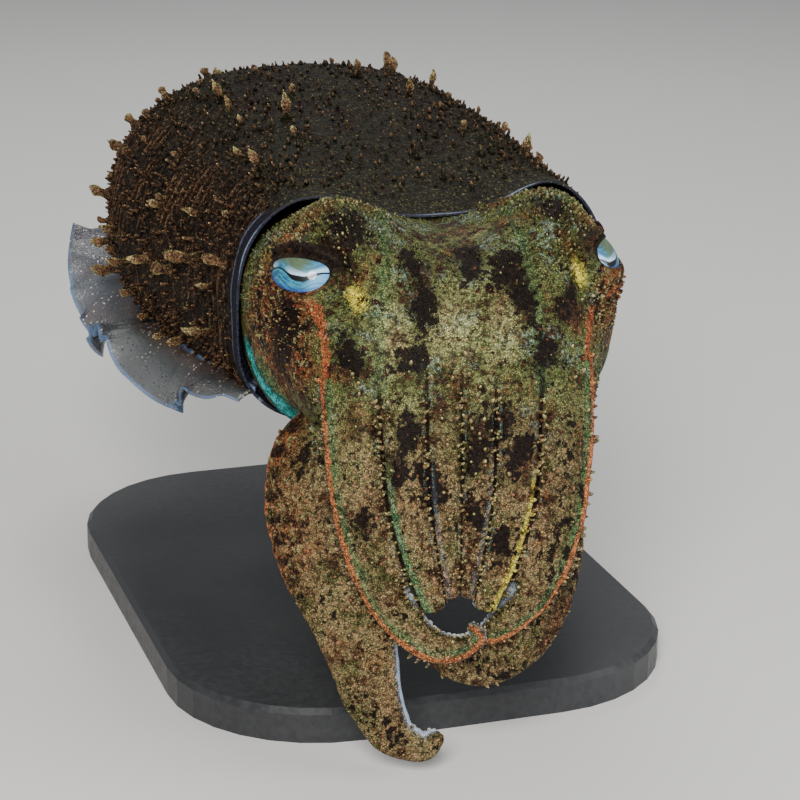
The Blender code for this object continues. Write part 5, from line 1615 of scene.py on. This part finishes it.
rows = [pimple_row(index, arm, *row) for index, arm in enumerate(ARMS) for row in PIMPLE_ROWS[arm.number]]
root, out, back, size, unwrap, marks = (np.concatenate(part) for part in zip(*rows))
marks = dict(zip(MARKS, marks.T))
marks |= {"arm": 1 + 0 * size, "bright": 0 * size, "warm": 0 * size, "lid": 0 * size, "groove": 0 * size}
marks["blotch"], marks["pale"] = marks["blotch"] * 0.5, marks["pale"] * 0.2
marks["glow"] = draw.uniform(0.7, 1.0, len(root))
back = upright(back, out)
tufts("pimples_of_arms", root, out, back, size * 1.20, size * 0.52, BEAD, 1.0, 7, skin_finish, unwrap, marks)

# %% [markdown]
# ## Suckers
# Four rows of suckers stand on the inner face of each arm, smaller towards the tip. On the animal each is a
# short stalk with a horny-rimmed cup. One profile with a rim and a hollow, repeated along every arm, is
# enough for that.

# %% Sucker cups
SUCKER = (
    (-0.60, 0.00, 0.70),
    (0.10, 0.00, 0.72),
    (0.45, 0.00, 0.95),
    (0.75, 0.00, 1.00),
    (0.90, 0.00, 0.86),
    (0.80, 0.00, 0.62),
    (0.45, 0.00, 0.42),
)
SUCKER_LANES = np.array((-0.62, -0.22, 0.22, 0.62))
SUCKER_RUNS = (0.012, 0.985)
SUCKER_SHARE, SUCKER_RADII, SUCKER_GAP = 0.19, (0.00026, 0.00115), 2.3


def sucker_paint():
    """Grey stalks with pale cloudy rims."""
    paint = Paint("skin_of_suckers", Roughness=0.35, Specular_IOR_Level=0.45)
    place = paint.place()
    cloudy = paint.noise(700.0, 2.0, 0.5, place)
    tone = paint.mix((0.42, 0.40, 0.34), (0.70, 0.68, 0.60), paint.mark("tip").step(0.2, 0.8))
    tone = paint.mix(tone, (0.30, 0.36, 0.42), cloudy.step(0.45, 0.7) * 0.5)
    paint.set(Base_Color=tone, Normal=paint.bump(cloudy, 0.0002, 0.6))
    return paint.material


def sucker_rows(index, arm):
    """Rows of four cups, their radius a share of the arm's width, each row SUCKER_GAP radii past the last."""
    rows, at = [], SUCKER_RUNS[0]
    while at < arm.reach * SUCKER_RUNS[1]:
        radius = float(smooth_table(arm.table, at)[4]) * SUCKER_SHARE
        rows.append((at, min(max(radius, SUCKER_RADII[0]), SUCKER_RADII[1])))
        at += rows[-1][1] * SUCKER_GAP
    at, radius = (column[:, None] for column in np.array(rows).T)
    run = at + radius * 1.1 * (np.arange(len(SUCKER_LANES)) % 2)
    ahead, across, up = arm.frame(run)
    root = arm.point(run, -math.pi / 2 + SUCKER_LANES * 1.05 + 0 * run)
    out = unit(-up + across * SUCKER_LANES[:, None] * 0.5)
    unwrap = np.stack([(index + 0.25 + SUCKER_LANES * 0.2 + 0 * run) / len(ARMS), run / arm.reach], -1)
    size = radius * draw.uniform(0.85, 1.1, run.shape)
    return root.reshape(-1, 3), out.reshape(-1, 3), -ahead.reshape(-1, 3), unwrap.reshape(-1, 2), size.ravel()


rows = [sucker_rows(index, arm) for index, arm in enumerate(ARMS)]
root, out, back, unwrap, size = (np.concatenate(part) for part in zip(*rows))
back, glow = upright(back, out), {"glow": np.ones(len(root))}
tufts("suckers", root, out, back, size * 1.1, size, SUCKER, 1.0, 9, sucker_paint(), unwrap, glow)

# %% [markdown]
# ## The fins
# One band of thin muscle runs along each side of the mantle and waves from front to back. It is glassy at its
# edge, so the finish fades in opacity from root to edge, with a blue line and fine pale specks.

# %% Fin grids
# Share of the mantle's length, width of the fin.
FIN_WIDTHS = (
    (0.03, 0.006),
    (0.09, 0.016),
    (0.30, 0.021),
    (0.55, 0.024),
    (0.80, 0.024),
    (0.93, 0.018),
    (0.985, 0.007),
)
FIN_SHARES = (0.03, 0.985)
FIN_SUNK = 0.0015
FIN_THICKNESS = (0.0020, 0.0006)
FIN_DROOP = (math.radians(-40), math.radians(-6))
FIN_WAVE, FIN_WAVES, FIN_LEFT_PHASE, FIN_BEND = math.radians(27), 3.2, 0.9, 0.7
FIN_RIPPLE, FIN_RIPPLES = 0.10, 21
FIN_GRID = (300, 16)


def fin_grid(side):
    """Rays from the mantle's side that turn up and down with the length; upper face, then lower face back."""
    share = np.linspace(*FIN_SHARES, FIN_GRID[0])
    root = mantle_point(share, FIN_ANGLE, -FIN_SUNK)
    along = mantle_point(np.minimum(share + 0.01, 0.995), FIN_ANGLE) - mantle_point(share - 0.01, FIN_ANGLE)
    out = unit(np.stack([along[:, 1], -along[:, 0], 0 * share], -1))[:, None]
    wave = FIN_DROOP[0] + (FIN_DROOP[1] - FIN_DROOP[0]) * share
    wave = wave + FIN_WAVE * np.sin(math.tau * FIN_WAVES * share + (FIN_LEFT_PHASE if side > 0 else 0))
    width = np.interp(share, *zip(*FIN_WIDTHS))
    across = np.linspace(0, 1, FIN_GRID[1])[None]
    ripple = FIN_RIPPLE * np.sin(math.tau * share * FIN_RIPPLES + 2 * np.sin(share * 31))
    turn = (wave[:, None] * across**FIN_BEND + ripple[:, None] * across**2)[..., None]
    rise = np.array((0, 0, 1.0))
    way, face = out * np.cos(turn) + rise * np.sin(turn), rise * np.cos(turn) - out * np.sin(turn)
    thick = (FIN_THICKNESS[0] + (FIN_THICKNESS[1] - FIN_THICKNESS[0]) * across**0.6)[..., None]
    middle = root[:, None] + way * width[:, None, None] * across[..., None]
    grid = np.concatenate([middle + face * thick / 2, (middle - face * thick / 2)[:, ::-1]], 1)
    spread = np.broadcast_to(np.concatenate([across[0], across[0][::-1]]), grid.shape[:2])
    return grid * (side, 1, 1), spread, np.broadcast_to(share[:, None], grid.shape[:2])


FIN_ROOT = (0.060, 0.035, 0.024)
FIN_GLASS = (0.040, 0.046, 0.050)
FIN_REAR = (0.020, 0.055, 0.130)
FIN_EDGE = (0.120, 0.240, 0.460)
FIN_CLOUD = (0.045, 0.026, 0.030)
FIN_LINE = (0.260, 0.460, 0.800)
FIN_SPECK = (0.700, 0.660, 0.520)


def fin_paint():
    """Dark at the root, nearly clear towards the edge, a blue line along both, and pale specks."""
    paint = Paint("skin_of_fins", Roughness=0.32, Specular_IOR_Level=0.45)
    place = paint.place()
    grain = paint.noise(900.0, 2.0, 0.6, place)
    specks = paint.cells(620.0, place).fall(0.08, 0.26)
    cloudy = paint.noise(70.0, 2.0, 0.5, place)
    across = paint.mark("across")
    tone = paint.layers(
        FIN_ROOT,
        (FIN_GLASS, across.step(0.05, 0.60)),
        (FIN_REAR, paint.mark("rear") * 0.65),
        (FIN_EDGE, across.step(0.93, 0.99) * 0.7),
        (FIN_CLOUD, cloudy.step(0.50, 0.66) * 0.6),
        (FIN_LINE, (across.step(0.02, 0.10) - across.step(0.10, 0.20)) * 0.9),
        (FIN_SPECK, specks * cloudy.step(0.40, 0.60) * 0.8),
    )
    alpha = across.step(0.05, 0.80, 1.0, 0.52) + specks * 0.4 + cloudy * 0.2
    paint.set(Base_Color=tone, Alpha=alpha.least(1.0), Normal=paint.bump(grain, 0.0004, 0.8))
    return paint.material


fin_finish = fin_paint()
for side, name in ((-1, "fin_right"), (1, "fin_left")):
    grid, across, share = fin_grid(side)
    values = {"across": with_ends(across), "rear": with_ends(soft_step(share, 0.45, 0.9))}
    piece = make_piece(f"skin_{name}", *closed_shell(grid), fin_finish, values)
    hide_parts(name)

# %% [markdown]
# ## The eyes
# The pupil of a cuttlefish is a W that narrows to a thin dark line in bright light. It lies on a silvery
# iris, blue below and green-gold above, behind a wet clear cornea. The eyeball's grid has its poles outwards
# and inwards, and each point knows how far forward and up it looks, so the pupil is drawn as a formula.

# %% Eyeballs
EYE_GRID = (90, 120)
EYE_TURNED = {-1: 0.0, 1: -0.28}
PUPIL_HEIGHT = 0.360
DEEP_BLUE = (0.003, 0.045, 0.120)
IRIS_BLUE = (0.070, 0.360, 0.480)
RIM_BLUE = (0.008, 0.035, 0.240)
IRIS_OLIVE = (0.090, 0.115, 0.040)
SILVER = (0.620, 0.860, 0.980)
SKY_BLUE = (0.180, 0.480, 0.760)
BLACK = (0.002, 0.002, 0.003)


def eye_paint():
    """line is the height over the W of the pupil, which is black where line is less than its thickness."""
    paint = Paint("iris_and_pupil", Roughness=0.40, Specular_IOR_Level=0.2)
    paint.set(Coat_Weight=0.5, Coat_Roughness=0.03)
    place = paint.place()
    grain = paint.noise(1600.0, 3.0, 0.6, place)
    ahead, up = paint.mark("ahead"), paint.mark("up")
    bent = ahead.size()
    line = up - PUPIL_HEIGHT + bent.step(0.02, 0.50) * 0.115 - bent.step(0.62, 0.86) * 0.16
    thick = (bent.step(0.20, 0.50) * 0.046 + 0.016) * bent.step(0.70, 0.86, 1.0, 0.25)
    along = paint.node("CombineXYZ", None, {0: ahead * 3.0, 1: line * 15.0})
    streak = paint.noise(1.0, 4.0, 0.7, along).step(0.36, 0.66)
    over = line.step(0.015, 0.05) * line.fall(0.07, 0.20)
    tone = paint.layers(
        DEEP_BLUE,
        (IRIS_BLUE, streak * 0.7 + grain.step(0.4, 0.7) * 0.15),
        (RIM_BLUE, paint.mark("rim").step(0.60, 0.95) * 0.85),
        (IRIS_OLIVE, line.step(0.08, 0.22) * ahead.fall(0.45, 0.75) * 0.85),
        (SILVER, over * bent.step(0.05, 0.50) * (0.65 + streak * 0.35)),
        (SKY_BLUE, ahead.step(0.62, 0.86) * (0.35 + streak * 0.4)),
        (BLACK, (line.size() / thick).fall(0.75, 1.25)),
    )
    paint.set(Base_Color=tone)
    return paint.material


eye_finish = eye_paint()
for side, name in ((-1, "eye_right"), (1, "eye_left")):
    middle, ahead, up, look = eye_frame(side)
    fall = np.linspace(0.02, math.pi - 0.02, EYE_GRID[0])[:, None, None]
    turn = np.linspace(0, math.tau, EYE_GRID[1], endpoint=False)[None, :, None]
    way = look * np.cos(fall) + (ahead * np.cos(turn) + up * np.sin(turn)) * np.sin(fall)
    points, faces = closed_shell(middle + EYE_RADIUS * way)
    _, forward, upward, outwards = eye_coordinates(points, side)
    rim = opening_reach(forward, upward, outwards, side)
    values = {"ahead": forward - EYE_TURNED[side], "up": upward, "rim": rim}
    piece = make_piece(name.replace("eye", "eyeball"), points, faces, eye_finish, values)
    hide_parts(name)

# %% [markdown]
# ## The stand
# The stand is the solid itself: a dark satin plate and two brushed steel rods. Only their finishes change.

# %% Finishes of the stand


def plate_paint():
    """Near black, with a fine grain in tone, gloss and relief."""
    paint = Paint("satin_plate", Roughness=0.42, Specular_IOR_Level=0.4)
    place = paint.place()
    grain = paint.noise(420.0, 4.0, 0.65, place)
    broad = paint.noise(24.0, 2.0, 0.5, place)
    cloud = (grain * 0.6 + broad * 0.4).step(0.35, 0.65)
    tone = paint.mix((0.020, 0.021, 0.023), (0.034, 0.035, 0.038), cloud)
    gloss = grain.step(0.3, 0.7, 0.36, 0.50)
    paint.set(Base_Color=tone, Roughness=gloss, Normal=paint.bump(grain, 0.0001, 0.4))
    return paint.material


def steel_paint():
    """Fine streaks along the rods."""
    paint = Paint("brushed_steel", Metallic=1.0, Roughness=0.3)
    long = paint.node("Mapping", None, {"Vector": paint.place(), "Scale": (2600.0, 2600.0, 60.0)})
    brushed = paint.noise(1.0, 2.0, 0.5, long)
    tone = paint.mix((0.42, 0.42, 0.43), (0.60, 0.60, 0.61), brushed.step(0.3, 0.7))
    gloss = brushed.step(0.3, 0.7, 0.24, 0.38)
    paint.set(Base_Color=tone, Roughness=gloss, Normal=paint.bump(brushed, 0.00005, 0.4))
    return paint.material


STAND = ((plate_paint(), ("stand_base",)), (steel_paint(), ("stand_rod_front", "stand_rod_rear")))
for finish, names in STAND:
    for name in names:
        for slot in bpy.data.objects[name].material_slots:
            slot.material = finish
        print(name, "->", finish.name)

# %% [markdown]
# ## Floor, light and camera
# A pale floor and wide soft lamps show the forms without hard shadows. The camera looks from the front and
# the animal's right, a little from above, and is turned so that the eyes' middle lands where it should.

# %% Floor
FLOOR_SIZE = 8.0


def floor_paint():
    """A pale floor, faintly clouded."""
    paint = Paint("pale_floor", Roughness=0.9)
    tone = paint.mix((0.62, 0.61, 0.59), (0.66, 0.65, 0.63), paint.noise(3.0, 3.0, 0.5))
    paint.set(Base_Color=tone)
    return paint.material


corners = np.array([(-1, -1, 0), (1, -1, 0), (1, 1, 0), (-1, 1, 0)]) * FLOOR_SIZE / 2
floor = mesh_object("floor", corners, np.array([(0, 1, 2, 3)]))
floor.data.materials.append(floor_paint())
floor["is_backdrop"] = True
print("floor", FLOOR_SIZE, "m")

# %% Lights
AIM = Vector((0.0, -0.02, 0.09))
# Name, place, size, power, colour.
LAMPS = (
    ("key", (-0.45, -1.00, 0.75), 0.50, 22.0, (1.0, 0.98, 0.95)),
    ("fill", (0.80, -0.60, 0.45), 0.60, 6.0, (0.94, 0.97, 1.0)),
    ("rim", (0.15, 0.70, 0.95), 0.60, 5.0, (1.0, 1.0, 1.0)),
)
for name, place, size, power, colour in LAMPS:
    lamp = bpy.data.lights.new(name, "AREA")
    lamp.shape, lamp.size, lamp.energy, lamp.color = "DISK", size, power, colour
    holder = bpy.data.objects.new(name, lamp)
    holder.location = place
    holder.rotation_euler = (AIM - Vector(place)).to_track_quat("-Z", "Y").to_euler()
    bpy.context.scene.collection.objects.link(holder)
SKY_COLOUR, SKY_STRENGTH = (0.80, 0.83, 0.86, 1.0), 0.40
sky = bpy.data.worlds.new("studio")
sky.use_nodes = True
sky.node_tree.nodes["Background"].inputs["Color"].default_value = SKY_COLOUR
sky.node_tree.nodes["Background"].inputs["Strength"].default_value = SKY_STRENGTH
bpy.context.scene.world = sky
print("lamps:", len(LAMPS))

# %% Camera
VIEW_AZIMUTH, VIEW_HEIGHT, VIEW_ROLL = (math.radians(a) for a in (-20, 15, 1))
VIEW_DISTANCE = 0.65
EYES_MIDDLE = Vector((0.0, EYE_LINE_Y, EYE_LINE_Z))
EYES_AT = (455, 262)
FOCAL_PIXELS = 2405
FRAME_PIXELS = 800
SENSOR_WIDTH = 36.0

sin_a, cos_a = math.sin(VIEW_AZIMUTH), math.cos(VIEW_AZIMUTH)
to_camera = Vector((sin_a * math.cos(VIEW_HEIGHT), -cos_a * math.cos(VIEW_HEIGHT), math.sin(VIEW_HEIGHT)))
level_right = Vector((cos_a, sin_a, 0))
level_up = to_camera.cross(level_right)
right = level_right * math.cos(VIEW_ROLL) + level_up * math.sin(VIEW_ROLL)
above = level_up * math.cos(VIEW_ROLL) - level_right * math.sin(VIEW_ROLL)
facing = Matrix((right, above, to_camera)).transposed()
off = (EYES_AT[0] - FRAME_PIXELS / 2, FRAME_PIXELS / 2 - EYES_AT[1])
seen = Vector((off[0] / FOCAL_PIXELS, off[1] / FOCAL_PIXELS, -1))
turned = facing @ seen.rotation_difference(Vector((0, 0, -1))).to_matrix()
lens = bpy.data.cameras.new("camera")
lens.sensor_width = SENSOR_WIDTH
lens.lens = FOCAL_PIXELS / FRAME_PIXELS * SENSOR_WIDTH
camera = bpy.data.objects.new("camera", lens)
camera.matrix_world = Matrix.Translation(EYES_MIDDLE + to_camera * VIEW_DISTANCE) @ turned.to_4x4()
bpy.context.scene.collection.objects.link(camera)
bpy.context.scene.camera = camera
print("camera at", camera.matrix_world.translation, "lens", round(lens.lens, 1))

# %% [markdown]
# ## Sizes and the end
# The dressed model must fill the same box as the solids. Both boxes are written out to be compared.

# %% Print both boxes
LOOKS_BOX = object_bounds()
for label, box in (("solids", CAD_BOX), ("looks", LOOKS_BOX)):
    print(label, [round(c * 1000, 1) for corner_of_box in box for c in corner_of_box])
